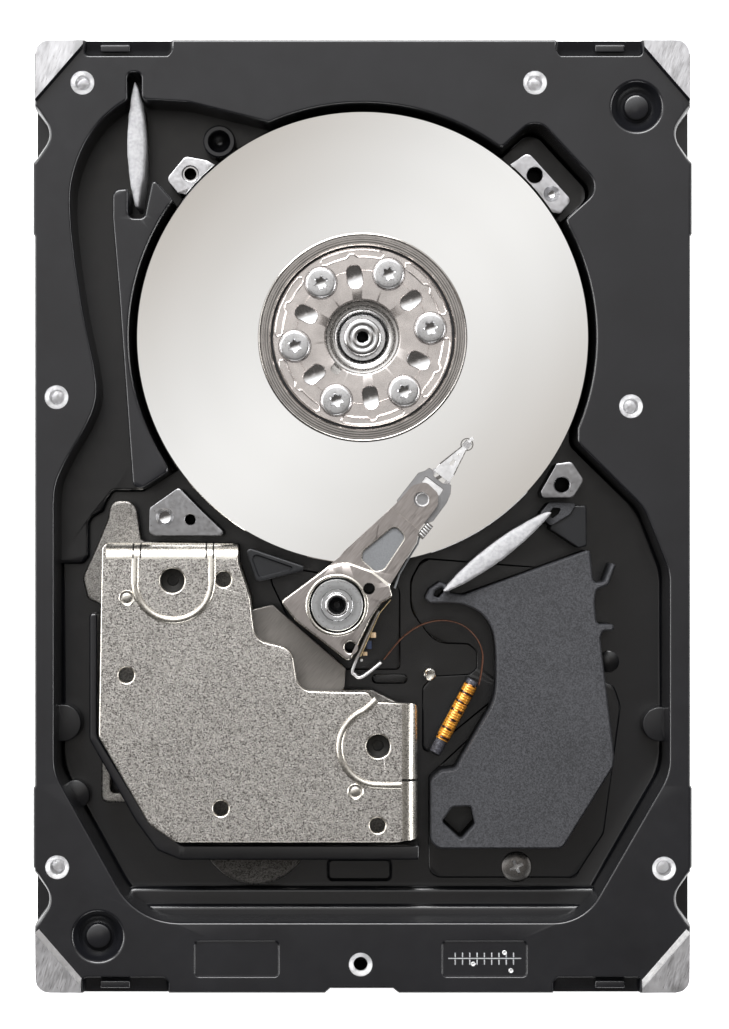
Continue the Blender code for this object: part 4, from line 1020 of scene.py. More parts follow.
def floor_plateaus(bm):
    """Flat raised areas that leave fine lines on the floor round the flex circuit."""
    behind_arm = [(-16.0, -7.5, 2.0), (6.0, -10.6, 2.0), (6.0, -24.3, 0.8), (-8.0, -24.3, 2.0)]
    under_loop = [(9.4, -6.5, 2.0), (7.5, -10.0, 3.0), (7.5, -15.0, 5.0), (11.5, -20.1, 4.0),
                  (16.7, -20.3, 1.0), (18.0, -21.4, 1.0), (18.0, -24.0, 1.0), (16.9, -24.9, 1.0),
                  (11.1, -25.2, 0.6), (9.4, -27.0, 1.5), (9.4, -38.4, 1.0), (22.8, -27.4, 0.5),
                  (28.0, -26.8, 0.6), (28.0, -8.0, 1.0)]
    under_housing = [(10.4, -57.2, 2.0), (33.6, -57.2, 2.0), (38.2, -50.2, 2.0), (40.9, -30.0, 3.0),
                     (39.6, -26.0, 2.0), (24.0, -28.4, 1.0), (10.4, -41.0, 1.0)]
    small_rib = rectangle((1.45, 7.1), (-26.5, -24.9), 0.75)
    for outline in (rounded(behind_arm), rounded(under_loop, 8), small_rib, rounded(under_housing)):
        add_plate(bm, outline, edges(FLOOR - 0.5, FLOOR + 0.45, 0.0, 0.3))


def floor_recesses(bm):
    """The recessed panel between the two ends of the motor."""
    add_plate(bm, rectangle((-5.5, 4.5), (-57.6, -54.3), 0.8),
              [(0.3, FLOOR - 0.5), (0.0, FLOOR - 0.2), (-0.2, FLOOR), (-0.2, FLOOR + 0.3)])


def underside_cutters(bm):
    """The recess for the circuit board and the relief under the far end."""
    board_bay = [(-44.4, -76.0), (44.4, -76.0), (44.4, 20.5, 2.0), (-44.4, 20.5, 2.0)]
    add_plate(bm, rounded(board_bay), [(-0.3, -2.0), (-0.3, 0.0), (0.0, 0.4), (0.0, BOARD_BAY_TOP)])
    relief = rectangle((-40.0, 40.0), (23.5, 68.0), 3.0)
    add_plate(bm, relief, [(-0.3, -2.0), (-0.3, 0.0), (0.0, 0.4), (0.5, 3.0)])


def make_casting():
    """The one-piece base, machined where it is bare and coated where it is black."""
    casting = new_piece("casting_detail", plate(OUTLINE, edges(0.0, DECK, 0.5, 0.35)), BLACK_COAT)
    join(casting, gathered(corner_pads))
    carve(casting, pocket_cutter())
    for action, shapes in ((join, boss_tops), (join, floor_levels), (join, upper_shelf),
                           (join, wall_bumps), (join, floor_plateaus), (carve, edge_cutters),
                           (join, ledge_tabs), (carve, floor_recesses), (carve, damper_dishes),
                           (carve, label_windows), (carve, underside_cutters),
                           (carve, side_reliefs)):
        action(casting, gathered(shapes))
    # the tapped holes in the pads are lined with black plastic: painted shade inside them
    for shapes, finish in ((screw_hole_cutters, BRIGHT_METAL), (side_hole_cutters, CAST_METAL),
                           (pin_well, BLACK_COAT), (counterbores, POLISHED_STEEL),
                           (blind_holes, POLISHED_STEEL), (pad_holes, BLACK_PLASTIC)):
        carve(casting, gathered(shapes), finish)
    carve(casting, turned(rod(14.7, -3.0, 12.0), SPINDLE, 96))
    carve(casting, plate(rectangle((-21.8, 21.8), (-78.0, -63.6), 0.5), [(0, -4.0), (0, 6.8)]))
    for centre, radius, low, high, segments in ((PIVOT, 2.4, 3.0, 14.0, 48),
                                                (HOUSING_SCREW, 1.5, 4.6, 12.0, 32),
                                                (SCREW_HOLES[-1], 1.1, -2.0, DECK - 2.0, 32)):
        carve(casting, turned(rod(radius, low, high), centre, segments))
    paint(casting, SIDE_COAT, lambda at, up: abs(up.z) < 0.3
          and (abs(at.x) > 49.5 or abs(at.y) > 72.0))
    paint(casting, MACHINED, lambda at, up: at.z > CASE_TOP - 0.3 and up.z > 0.5)
    # the sloped sides of the pads at the connector end, which face the key light, are painted
    # bright: partly bare metal, partly painted highlight
    paint(casting, BRIGHT_METAL, lambda at, up: DECK + 0.05 < at.z < CASE_TOP - 0.1 and at.y < 0
          and up.z > 0.3)
    for finish, low, high in ((PAD_METAL, 40.0, 60.0), (DULL_METAL, -5.0, 10.0)):
        paint(casting, finish, lambda at, up: PAD_TOP - 0.4 < at.z < PAD_TOP + 0.01
              and up.z > 0.3 and abs(at.x) < 36.0 and low < at.y < high)
    stand_in(casting, "base_casting")
    make_ruler()


def make_ruler():
    """A plain scale in one label window: a line, nine ticks and three punched dots."""
    low = DECK - WINDOW_DEPTH - 0.05
    bm = plate(rectangle((13.2, 24.5), (-68.28, -68.12), 0.07),
               edges(low, low + 0.17, 0.0, 0.05, 1))
    for tick in range(9):
        x = 14.3 + 1.125 * tick
        for y_range in ((-69.2, -68.36), (-68.04, -67.3)):
            add_plate(bm, rectangle((x - 0.09, x + 0.09), y_range, 0.08),
                      edges(low, low + 0.15, 0.0, 0.05, 1))
    scale = new_piece("ruler_scale", bm, CAST_METAL)
    add_extra(scale, "base")
    dots = bmesh.new()
    for centre in ((21.9, -67.3), (17.05, -69.05), (22.9, -70.1)):
        add_turned(dots, [(0, low - 0.02), (0.36, low), (0.36, low + 0.12), (0.3, low + 0.17),
                          (0.12, low + 0.12), (0, low + 0.10)], centre, 20)
    marks = new_piece("ruler_dots", dots, BRIGHT_METAL)
    add_extra(marks, "base")


# ---------------------------------------------------------------- spindle, platters, clamp

CLAMP_TOP = top_of("disk_clamp") - 0.6   # its flat face, inside the raised rim
CLAMP_BOTTOM = bottom_of("disk_clamp")
CLAMP_RADIUS = 16.2
CLAMP_BORE = 5.7
SCREW_ANGLE = 7.5


def make_platters():
    """Four polished disks with eased edges, and the turned rings between them."""
    for number in range(1, 5):
        node = f"platter_{number}"
        low, high = span(node)
        ease = 0.12
        inner, outer = 12.5, PLATTER_RADIUS
        profile = [(inner, low + ease), (inner + ease, low), (outer - ease, low),
                   (outer, low + ease), (outer, high - ease), (outer - ease, high),
                   (inner + ease, high), (inner, high - ease)]
        remake(node, turned(profile, SPINDLE, 256), MEDIA)
    for number in range(1, 4):
        node = f"platter_spacer_{number}"
        low, high = span(node)
        profile = [(12.5, low), (15.7, low), (15.8, low + 0.1), (15.8, high - 0.1), (15.7, high),
                   (12.5, high)]
        remake(node, turned(profile, SPINDLE, 96), TURNED_METAL)


def clamp_profile():
    """Half section of the clamp: a flat face with an engraved line, a groove, a ridged rim."""
    top = CLAMP_TOP
    profile = [(CLAMP_BORE, CLAMP_BOTTOM), (CLAMP_BORE, top - 0.25),
               (CLAMP_BORE + 0.08, top - 0.08), (CLAMP_BORE + 0.3, top), (10.22, top),
               (10.27, top - 0.08), (10.33, top - 0.08), (10.38, top), (13.72, top),
               (13.84, top - 0.12), (13.86, top - 0.5), (14.13, top - 0.5),
               (14.17, top + 0.1), (14.3, top + 0.36)]
    for ridge in range(4):
        radius = 14.42 + 0.36 * ridge
        height = top + 0.58 - 0.08 * (ridge - 1) ** 2
        profile += [(radius, height), (radius + 0.2, height), (radius + 0.22, height - 0.2),
                    (radius + 0.33, height - 0.2)]
    profile += [(15.95, top + 0.12), (16.12, top - 0.15), (CLAMP_RADIUS, top - 0.4),
                (CLAMP_RADIUS, CLAMP_BOTTOM)]
    return profile


def clamp_loop(direction):
    """The line of one pressed loop near the rim, pinched in the middle."""
    outer = [(13.55, angle) for angle in range(-20, 21, 2)]
    corner = [(13.2, 22.0), (12.6, 21.2), (12.42, 19.5)]
    inner = [(12.42, angle) for angle in range(17, 4, -2)]
    pinch = [(12.5, 3.4), (12.85, 2.0), (12.95, 0.9)]
    half = corner + inner + pinch
    points = outer + half + [(radius, -angle) for radius, angle in half[::-1]]
    path = []
    for radius, angle in points:
        turn = math.radians(direction + angle)
        path.append((SPINDLE[0] + radius * math.cos(turn), SPINDLE[1] + radius * math.sin(turn)))
    return path


def clamp_slots(bm, bottom, top):
    """Cutters for the six radial slots, from one height to another."""
    start, end, half, corner = 7.6, 11.2, 1.15, 1.10
    for number in range(6):
        slot = both_sides([(start, -half, corner), (end, -half, corner)])
        outline = rounded(polar(SPINDLE, SCREW_ANGLE + 30.0 + 60.0 * number, slot), 10)
        add_plate(bm, outline, [(0.0, bottom), (0.0, top - 0.25), (-0.04, top - 0.1),
                                (-0.15, top + 0.01), (-0.15, top + 1.0)])


def make_clamp():
    """The pressed disk clamp with its slots, and six star-recess screws."""
    clamp = new_piece("disk_clamp_detail", turned(clamp_profile(), SPINDLE, 192), CLAMP_METAL)
    cutters = bmesh.new()
    clamp_slots(cutters, CLAMP_BOTTOM - 1.0, CLAMP_TOP)
    for centre in screw_centres():
        add_turned(cutters, [(0, CLAMP_BOTTOM - 1.0), (1.25, CLAMP_BOTTOM - 1.0),
                             (1.25, CLAMP_TOP - 0.4), (2.5, CLAMP_TOP - 0.3),
                             (2.58, CLAMP_TOP + 0.01), (2.58, CLAMP_TOP + 1), (0, CLAMP_TOP + 1)],
                   centre, 48)
    key = polar(SPINDLE, 232.0,
                [(5.2, -1.0, 0.3), (7.1, -1.0, 0.5), (7.1, 0.6, 0.5), (5.2, 0.6, 0.3)])
    add_plate(cutters, rounded(key), [(0, CLAMP_BOTTOM - 1.0), (0, CLAMP_TOP + 1.0)])
    carve(clamp, cutters)
    for number in range(6):
        loop = clamp_loop(SCREW_ANGLE + 30.0 + 60.0 * number)
        join(clamp, bead(loop, 0.34, 0.26, CLAMP_TOP, closed=True))
    # the ridged rim is painted a darker steel than the flat face: painted shade
    paint(clamp, RIM_PAINTED_SHADE, lambda at, up: math.dist(at[:2], SPINDLE) > 14.13)
    # the falling side of each ridge is painted dark steel: painted shade between the ridges
    paint(clamp, DARK_STEEL, lambda at, up: math.dist(at[:2], SPINDLE) > 14.5 and
          0.22 < (math.dist(at[:2], SPINDLE) - 14.42) % 0.36)
    # the groove inside the rim is lined with black: painted shade in the groove
    paint(clamp, BLACK_PLASTIC, lambda at, up: 13.8 < math.dist(at[:2], SPINDLE) < 14.13
          and at.z < CLAMP_TOP - 0.2)
    stand_in(clamp, "disk_clamp")
    for number, centre in enumerate(screw_centres(), 1):
        make_star_screw(f"clamp_screw_{number}", centre, 2.33, SCREW_STEEL, 9.0 * number)


def screw_centres():
    """Where the six clamp screws sit."""
    return arc(SPINDLE, 10.56, SCREW_ANGLE, SCREW_ANGLE + 300.0, 6)


def make_star_screw(node, centre, radius, finish, turn):
    """A flat round head with a six-pointed recess, on its shank."""
    low, top = span(node)
    seat = top - 0.95
    profile = [(0, low), (0.8, low), (0.9, low + 0.3), (0.9, seat), (radius - 0.06, seat),
               (radius, seat + 0.08), (radius, top - 0.25), (radius - 0.06, top - 0.12),
               (radius - 0.18, top - 0.03), (radius - 0.4, top), (0, top)]
    screw = new_piece(f"{node}_detail", turned(profile, centre, 56), finish)
    star = []
    for point in range(6):
        star.append((*arc(centre, 1.42, turn + 60.0 * point, 360.0, 2)[0], 0.16))
        star.append((*arc(centre, 0.66, turn + 30.0 + 60.0 * point, 360.0, 2)[0], 0.15))
    carve(screw, plate(rounded(star, 4), [(0.05, top - 0.6), (0.02, top - 0.4), (0.0, top - 0.1),
                                          (-0.06, top + 0.01), (-0.06, top + 1.0)]),
          finish)
    carve(screw, turned([(0, top - 1.5), (1.2, top - 0.5), (1.2, top - 0.45), (0, top - 0.45)],
                        centre, 36), POLISHED_STEEL)
    stand_in(screw, node)


def make_spindle():
    """The hub with its inner cone and rings, and the end of the fixed shaft."""
    top = top_of("spindle_hub")
    base = bottom_of("spindle_hub")
    hub_profile = [(11.0, base), (12.6, base), (12.6, base + 0.9), (16.0, base + 0.9),
                   (16.0, base + 2.3), (12.2, base + 2.3), (12.2, 22.2), (12.1, 22.3),
                   (6.1, 22.3), (5.75, 22.0), (5.5, 21.35), (5.2, 21.3), (5.0, 21.9),
                   (4.75, 22.35), (4.6, top), (4.3, top), (4.1, top - 0.15),
                   (3.6, top - 1.2), (3.5, 20.6), (3.9, 20.5),
                   (3.9, 8.9), (4.7, 8.9), (4.7, 18.2), (11.0, 18.2)]
    hub = new_piece("spindle_hub_detail", turned(hub_profile, SPINDLE, 120), TURNED_METAL)
    pockets = bmesh.new()
    for centre in arc(SPINDLE, 9.45, SCREW_ANGLE + 30.0, SCREW_ANGLE + 330.0, 6):
        add_turned(pockets, [(0, 21.2), (1.8, 22.1), (1.85, 22.5), (0, 22.5)], centre, 40)
    carve(hub, pockets, POLISHED_STEEL)
    stand_in(hub, "spindle_hub")
    low, high = span("spindle_shaft")
    shaft_profile = [(0, low), (2.0, low), (2.0, 20.9), (2.75, 20.9), (2.9, 21.1),
                     (2.9, high - 0.5), (2.82, high - 0.25), (2.6, high - 0.1),
                     (2.0, high - 0.1), (1.9, high - 0.16), (1.84, high - 0.5),
                     (1.72, high - 0.5), (1.66, high - 0.08), (1.5, high), (1.15, high),
                     (0.95, high - 0.12), (0.86, high - 0.4), (0.86, 18.5), (0, 18.2)]
    shaft = new_piece("spindle_shaft_detail", turned(shaft_profile, SPINDLE, 72), POLISHED_STEEL)
    # the bore in the shaft's end is lined with black: painted shade inside it
    paint(shaft, BLACK_PLASTIC, lambda at, up: at.z > 18.0 and math.dist(at[:2], SPINDLE) < 0.9)
    stand_in(shaft, "spindle_shaft")


# ---------------------------------------------------------------- the actuator

def along_arm(points):
    """Outline given along and across the arms."""
    return polar(PIVOT, ARM_DIRECTION, points)


def block_outline():
    """The comb seen from above: the body round the pivot and one arm."""
    return rounded([(-12.7, -13.1, 0.6), (-5.2, -7.6, 0.7), (-3.5, -6.2, 1.0), (-2.9, -5.4, 0.8),
                    (5.3, 2.1, 1.0), (7.7, 4.8, 1.2), (9.8, 5.35, 1.2), (11.75, 3.5, 1.2),
                    (11.6, 1.7, 1.0), (8.75, -2.1, 0.6), (8.3, -4.1, 1.2), (4.2, -10.7, 0.6),
                    (4.7, -12.4, 0.5), (2.9, -13.4, 0.6), (1.3, -15.8, 1.0), (-2.0, -22.6, 0.7),
                    (-10.4, -16.1, 1.0)], 8)


ARM_PITCH = 3.6
ARM_THICKNESS = 0.8


def make_block():
    """The comb of five arms, its body standing a little above the arms."""
    low, top = bottom_of("actuator_block"), BLOCK_TOP
    holes = [circle(PIVOT, 4.3, 64), circle((-1.9, -20.2), 0.85, 28), circle((9.1, 2.6), 1.2, 36)]
    block = new_piece("actuator_block_detail",
                      plate(block_outline(), edges(low, top, 0.2, 0.35, 4), holes), BLOCK_METAL)
    comb = arc(PIVOT, 6.3, 21.0, 116.0, 24)
    comb += along_arm([(26.0, 24.0), (40.0, 0.0), (26.0, -16.0)])
    slots = bmesh.new()
    for number in range(5):
        high = top - ARM_THICKNESS - ARM_PITCH * number
        bottom = high - ARM_PITCH + ARM_THICKNESS if number < 4 else low - 2.0
        add_plate(slots, comb, [(0, bottom), (0, high)])
    carve(block, slots)
    step = rounded([(-8.3, -7.9, 0.5), (-4.9, -7.9, 1.6), (-2.4, -7.25, 2.0), (1.4, -8.6, 2.5),
                    (4.1, -10.75, 0.8), (9.0, -10.0), (20.0, 6.0), (5.0, 14.0)], 8)
    carve(block, plate(step, [(0.25, top - 0.25), (0.0, top - 0.1), (-0.15, top + 0.01),
                              (-0.15, top + 1.0)]))
    tip = along_arm([(17.0, -6.0), (17.0, 6.0), (30.0, 6.0), (30.0, -6.0)])
    carve(block, plate(tip, [(0, top - 0.34), (-0.05, top - 0.24), (-0.05, top + 1.0)]))
    window = rounded([(5.0, -1.4, 0.9), (6.6, -3.2, 0.8), (3.3, -8.2, 1.2), (2.0, -8.5, 0.8),
                      (-0.1, -6.7, 0.9), (0.1, -5.4, 0.9)], 8)
    # the window's rim gets the brighter edge finish: partly bare edge, partly painted highlight
    carve(block, plate(window, [(0.0, top - 0.6), (0.0, top - 0.4), (-0.05, top - 0.3),
                                (-0.2, top - 0.24), (-0.2, top + 1.0)]), PLATED_EDGE_AND_HIGHLIGHT)
    paint(block, PANEL_GREY, lambda at, up: abs(at.z - top + 0.6) < 0.02 and up.z > 0.9)
    # the collar round the bearing gets the same brighter finish: partly its own metal, partly
    # painted highlight
    collar = [(4.3, top - 1.0), (4.3, top), (4.36, top + 0.08), (4.5, top + 0.13),
              (4.72, top + 0.08), (4.88, top - 0.05), (4.88, top - 1.0)]
    join(block, turned(collar, PIVOT, 96), PLATED_EDGE_AND_HIGHLIGHT)
    # the small hole is lined with black plastic: painted shade inside it
    carve(block, turned([(0, low - 1), (0.83, low - 1), (0.83, top - 0.12), (0.93, top + 0.01),
                         (0.93, top + 1), (0, top + 1)], (1.0, -11.15), 32), BLACK_PLASTIC)
    # the block's rounded top edges get the brighter finish: partly bare edge, partly painted
    # highlight
    paint(block, PLATED_EDGE_AND_HIGHLIGHT, lambda at, up: 0.25 < up.z < 0.97 and top - 0.4 < at.z)
    stand_in(block, "actuator_block")


def make_pivot():
    """The bearing's cap with its turned rings, and the end of its fixed shaft."""
    low, top = span("pivot_bearing")
    cap = [(2.5, low), (4.0, low), (4.0, top - 0.1), (3.88, top), (2.55, top), (2.5, top - 0.05)]
    remake("pivot_bearing", turned(cap, PIVOT, 96), BEARING_METAL)
    low, high = span("pivot_shaft")
    shaft = [(0, low), (2.0, low), (2.0, top - 0.8), (2.44, top - 0.7), (2.44, top - 0.05),
             (2.38, top), (1.98, top), (1.92, top - 0.1), (1.85, top - 0.1), (1.75, high - 0.05),
             (1.6, high), (1.45, high - 0.02), (1.25, high - 0.3), (1.15, high - 0.7),
             (1.12, high - 3.4), (0.95, high - 3.6), (0.6, high - 3.7), (0.5, high - 3.4),
             (0, high - 3.4)]
    shaft_piece = new_piece("pivot_shaft_detail", turned(shaft, PIVOT, 72), POLISHED_STEEL)
    paint(shaft_piece, BEARING_METAL, lambda at, up: at.z > top - 0.2 and up.z > 0.9
          and math.dist(at[:2], PIVOT) > 1.97)
    # the bore in the shaft's end is lined with black: painted shade inside it
    paint(shaft_piece, BLACK_PLASTIC, lambda at, up: at.z > high - 4.0
          and math.dist(at[:2], PIVOT) < 1.16)
    stand_in(shaft_piece, "pivot_shaft")


def make_suspension(number):
    """A mount plate, its spring legs, the tapered load beam, and the slider on its gimbal."""
    node = f"head_suspension_{number}"
    low, high = span(node)
    looks_up = number % 2 == 0

    def place(x, y, depth):
        return (x, y, low + depth) if looks_up else (x, y, high - depth)

    def slab(corners, near, far, holes=()):
        bm = bmesh.new()
        ease = min(0.07, (far - near) / 3)
        levels = [(ease, near), (0.0, near + ease), (0.0, far - ease), (ease, far)]
        add_plate(bm, rounded(along_arm(corners)), levels, holes, place=place)
        return bm

    def washer(along, outer, inner, segments, levels):
        centre = along_arm([(along, 0.0)])[0]
        bm = bmesh.new()
        add_plate(bm, circle(centre, outer, segments), levels, [circle(centre, inner, segments)],
                  place=place)
        return bm

    opening = rounded(along_arm([(23.05, -1.65, 0.2), (24.25, -1.5, 0.2), (24.15, 1.85, 0.2),
                                 (23.0, 1.75, 0.2)]))
    mount = [(18.3, 3.0, 0.2), (23.8, 3.1, 0.5), (24.7, 2.5, 0.3), (25.5, 2.3, 0.2),
             (25.5, 1.4, 0.2), (24.9, 0.9, 0.3), (24.9, -0.9, 0.3), (25.5, -1.5, 0.2),
             (25.5, -2.1, 0.3), (24.3, -2.9, 0.4), (23.0, -3.25, 0.3), (19.4, -3.4, 0.5),
             (18.3, -2.7, 0.3)]
    piece = new_piece(f"{node}_detail", slab(mount, 0.0, 0.22, [opening]), MOUNT_STEEL)
    # the mount plate's sides are painted dark steel: partly the tint of a cut edge, partly painted
    # shade that outlines the plate
    paint(piece, DARK_STEEL, lambda at, up: abs(up.z) < 0.9)
    oval = rounded(along_arm(both_sides([(27.8, -0.32, 0.28), (28.9, -0.24, 0.2)])), 5)
    dimple = circle(along_arm([(29.9, 0.0)])[0], 0.16, 12)
    beam = both_sides([(25.6, -1.45, 0.2), (27.2, -1.4, 0.4), (31.4, -0.45, 0.2)])
    join(piece, slab(beam, 0.10, 0.18, [oval, dimple]), BRIGHT_METAL)
    for side in (-1, 1):
        leg = [(24.6, side * 1.0, 0.1), (26.0, side * 0.95, 0.1), (26.0, side * 1.6, 0.1),
               (24.6, side * 2.2, 0.1)]
        join(piece, slab(leg, 0.14, 0.21), STAINLESS)
        rail = [(27.0, side * 1.5, 0.02), (31.3, side * 0.5, 0.02), (31.3, side * 0.32, 0.02),
                (27.0, side * 1.28, 0.02)]
        join(piece, slab(rail, 0.02, 0.3), DARK_STEEL)
    behind_window = [(22.8, -2.0, 0.1), (24.5, -1.9, 0.1), (24.5, 2.1, 0.1), (22.8, 2.0, 0.1)]
    join(piece, slab(behind_window, 0.15, 0.28), BRIGHT_METAL)
    trace = [(24.5, 0.75, 0.1), (26.1, 0.15, 0.1), (26.1, -0.35, 0.1), (24.5, 0.15, 0.1)]
    join(piece, slab(trace, 0.16, 0.26), DARK_STEEL)
    join(piece, washer(31.95, 1.0, 0.84, 28, [(0.0, 0.14), (0.0, 0.26)]), DARK_STEEL)
    slider = both_sides([(31.2, -0.55, 0.1), (32.5, -0.55, 0.1)])
    join(piece, slab(slider, 0.12, 0.42), STAINLESS)
    tab = [(32.3, -0.2, 0.02), (33.3, -0.3, 0.2), (33.45, 0.2, 0.2), (32.3, 0.3, 0.02)]
    join(piece, slab(tab, 0.04, 0.16), BRIGHT_METAL)
    join(piece, washer(21.0, 1.13, 0.9, 36, [(0.06, -0.3), (0.0, -0.24), (0.0, 0.1)]),
         BRIGHT_METAL)
    stand_in(piece, node)


def make_carrier():
    """The frame that carries the coil, and the coil inside it."""
    def about_pivot(corners):
        return rounded(polar(PIVOT, COIL_DIRECTION, both_sides(corners)), 8)

    low, high = span("coil_carrier")
    outline = about_pivot([(6.6, -7.6, 0.5), (9.2, -9.4, 2.0), (27.6, -13.2, 0.6),
                           (28.2, -11.7, 0.4), (14.2, -5.8, 1.6)])
    remake("coil_carrier", plate(outline, edges(low, high, 0.2, 0.2)), CARRIER_METAL)
    low, high = span("voice_coil")
    outer = about_pivot([(14.6, -5.5, 2.0), (28.4, -11.3, 2.0)])
    inner = about_pivot([(18.4, -2.6, 1.0), (25.2, -5.8, 1.0)])
    remake("voice_coil", plate(outer, edges(low, high, 0.5, 0.5), [inner]), COIL_COPPER)


def make_arm_circuit():
    """The bent spring that leads the flex away, and the small circuit beside the block."""
    low, high = span("flex_stiffener")
    hook = smooth([(2.5, -14.7), (-1.3, -23.1), (-1.2, -24.6), (0.0, -24.9), (2.9, -22.7)], 8)
    remake("flex_stiffener", plate(ribbon(hook, 0.45), edges(low, high, 0.1, 0.12, 2)),
           BRIGHT_METAL)
    film = ribbon([(4.35, -12.9), (2.6, -15.0), (-0.35, -21.7)], 0.16)
    parts = new_piece("arm_circuit", plate(film, edges(13.0, BLOCK_TOP - 1.2, 0.04, 0.04, 1)), GILT)
    for centre, size, height, finish in (((1.65, -18.4), (0.9, 0.8), 22.2, TAN_PART),
                                         ((1.0, -19.9), (0.8, 1.3), 21.6, BLUE_PART),
                                         ((0.4, -21.3), (0.7, 0.6), 21.9, TAN_PART),
                                         ((-0.15, -22.3), (0.4, 0.4), 21.5, BRIGHT_METAL)):
        box = plate(rectangle((centre[0] - size[0] / 2, centre[0] + size[0] / 2),
                              (centre[1] - size[1] / 2, centre[1] + size[1] / 2), 0.12),
                    edges(height - 3.0, height, 0.05, 0.1, 2))
        join(parts, box, finish)
    add_extra(parts, "actuator")


def make_arm_leads():
    """The row of soldered leads beside the arm, and the flex strip that reaches them."""
    start, width = 16.5, 1.15
    middle = -3.35
    height = BLOCK_TOP - 0.85
    pad = rounded(along_arm(rectangle_corners((start - 0.3, start + 2.3),
                                              (middle - width / 2, middle + width / 2), 0.1)))
    leads = new_piece("arm_leads", plate(pad, edges(height - 0.3, height, 0.0, 0.05, 1)),
                      DARK_STEEL)
    bars = bmesh.new()
    for lead in range(5):
        along = start + 0.45 * lead
        bar = along_arm([(along, middle - 0.5), (along + 0.24, middle - 0.5),
                         (along + 0.30, middle + 0.5), (along + 0.06, middle + 0.5)])
        add_plate(bars, bar, edges(height - 0.1, height + 0.12, 0.0, 0.08, 2))
    join(leads, bars, BRIGHT_METAL)
    route = along_arm([(16.6, -3.1), (15.2, -3.75), (12.6, -4.05), (9.8, -4.5), (7.6, -5.3)])
    strip = ribbon(route, 0.3)
    join(leads, plate(strip, edges(height - 2.2, height - 0.1, 0.0, 0.05, 1)), PANEL_GREY)
    add_extra(leads, "actuator")


# ---------------------------------------------------------------- the voice coil motor

INNER_EDGE = [(-17.4, -12.5, 3.0), (-16.6, -19.0, 2.5), (-10.9, -20.4, 2.5), (-9.9, -26.9, 2.5)]
OUTER_STOP = centre_of("crash_stop_outer")
INNER_STOP = centre_of("crash_stop_inner")
YOKE_HOLES = [(-21.5, -9.7), (-36.5, -24.5), (-21.9, -45.1), (2.3, -47.7)]


def bead(path, width, height, base, closed=False):
    """A pressed rib: a low rounded section swept along a path on a face."""
    bm = bmesh.new()
    last = len(path) - 1
    sections = []
    for index, point in enumerate(path):
        before = path[index - 1] if closed else path[max(index - 1, 0)]
        after = path[(index + 1) % len(path)] if closed else path[min(index + 1, last)]
        normal = left_normal(before, after)
        end = 0.25 if index in (0, last) and not closed else 1.0
        ring = []
        for step in range(7):
            angle = math.pi * step / 6
            across = width / 2 * math.cos(angle)
            ring.append((point[0] + normal[0] * across, point[1] + normal[1] * across,
                         base - 0.02 + height * end * math.sin(angle)))
        for side in (-1, 1):
            ring.append((point[0] + side * normal[0] * width / 2,
                         point[1] + side * normal[1] * width / 2, base - 0.4))
        sections.append(ring)
    made = add_rings(bm, sections, closed)
    if not closed:
        bm.faces.new(made[0])
        bm.faces.new(made[-1])
    return bm


def bend_cutter(start, finish, height, radius, turn):
    """What a bend takes off a plate's edge: the outside of a quarter round, swept along."""
    section = arc((0.0, height - radius), radius, 90.0, 0.0, 9)
    section += [(radius + 1.5, height - radius), (radius + 1.5, height + 1.0), (0.0, height + 1.0)]
    bm = bmesh.new()
    ends = []
    for along in (start, finish):
        ends.append([turn(along, across, z) for across, z in section])
    made = add_rings(bm, ends)
    bm.faces.new(made[0])
    bm.faces.new(made[1])
    return bm


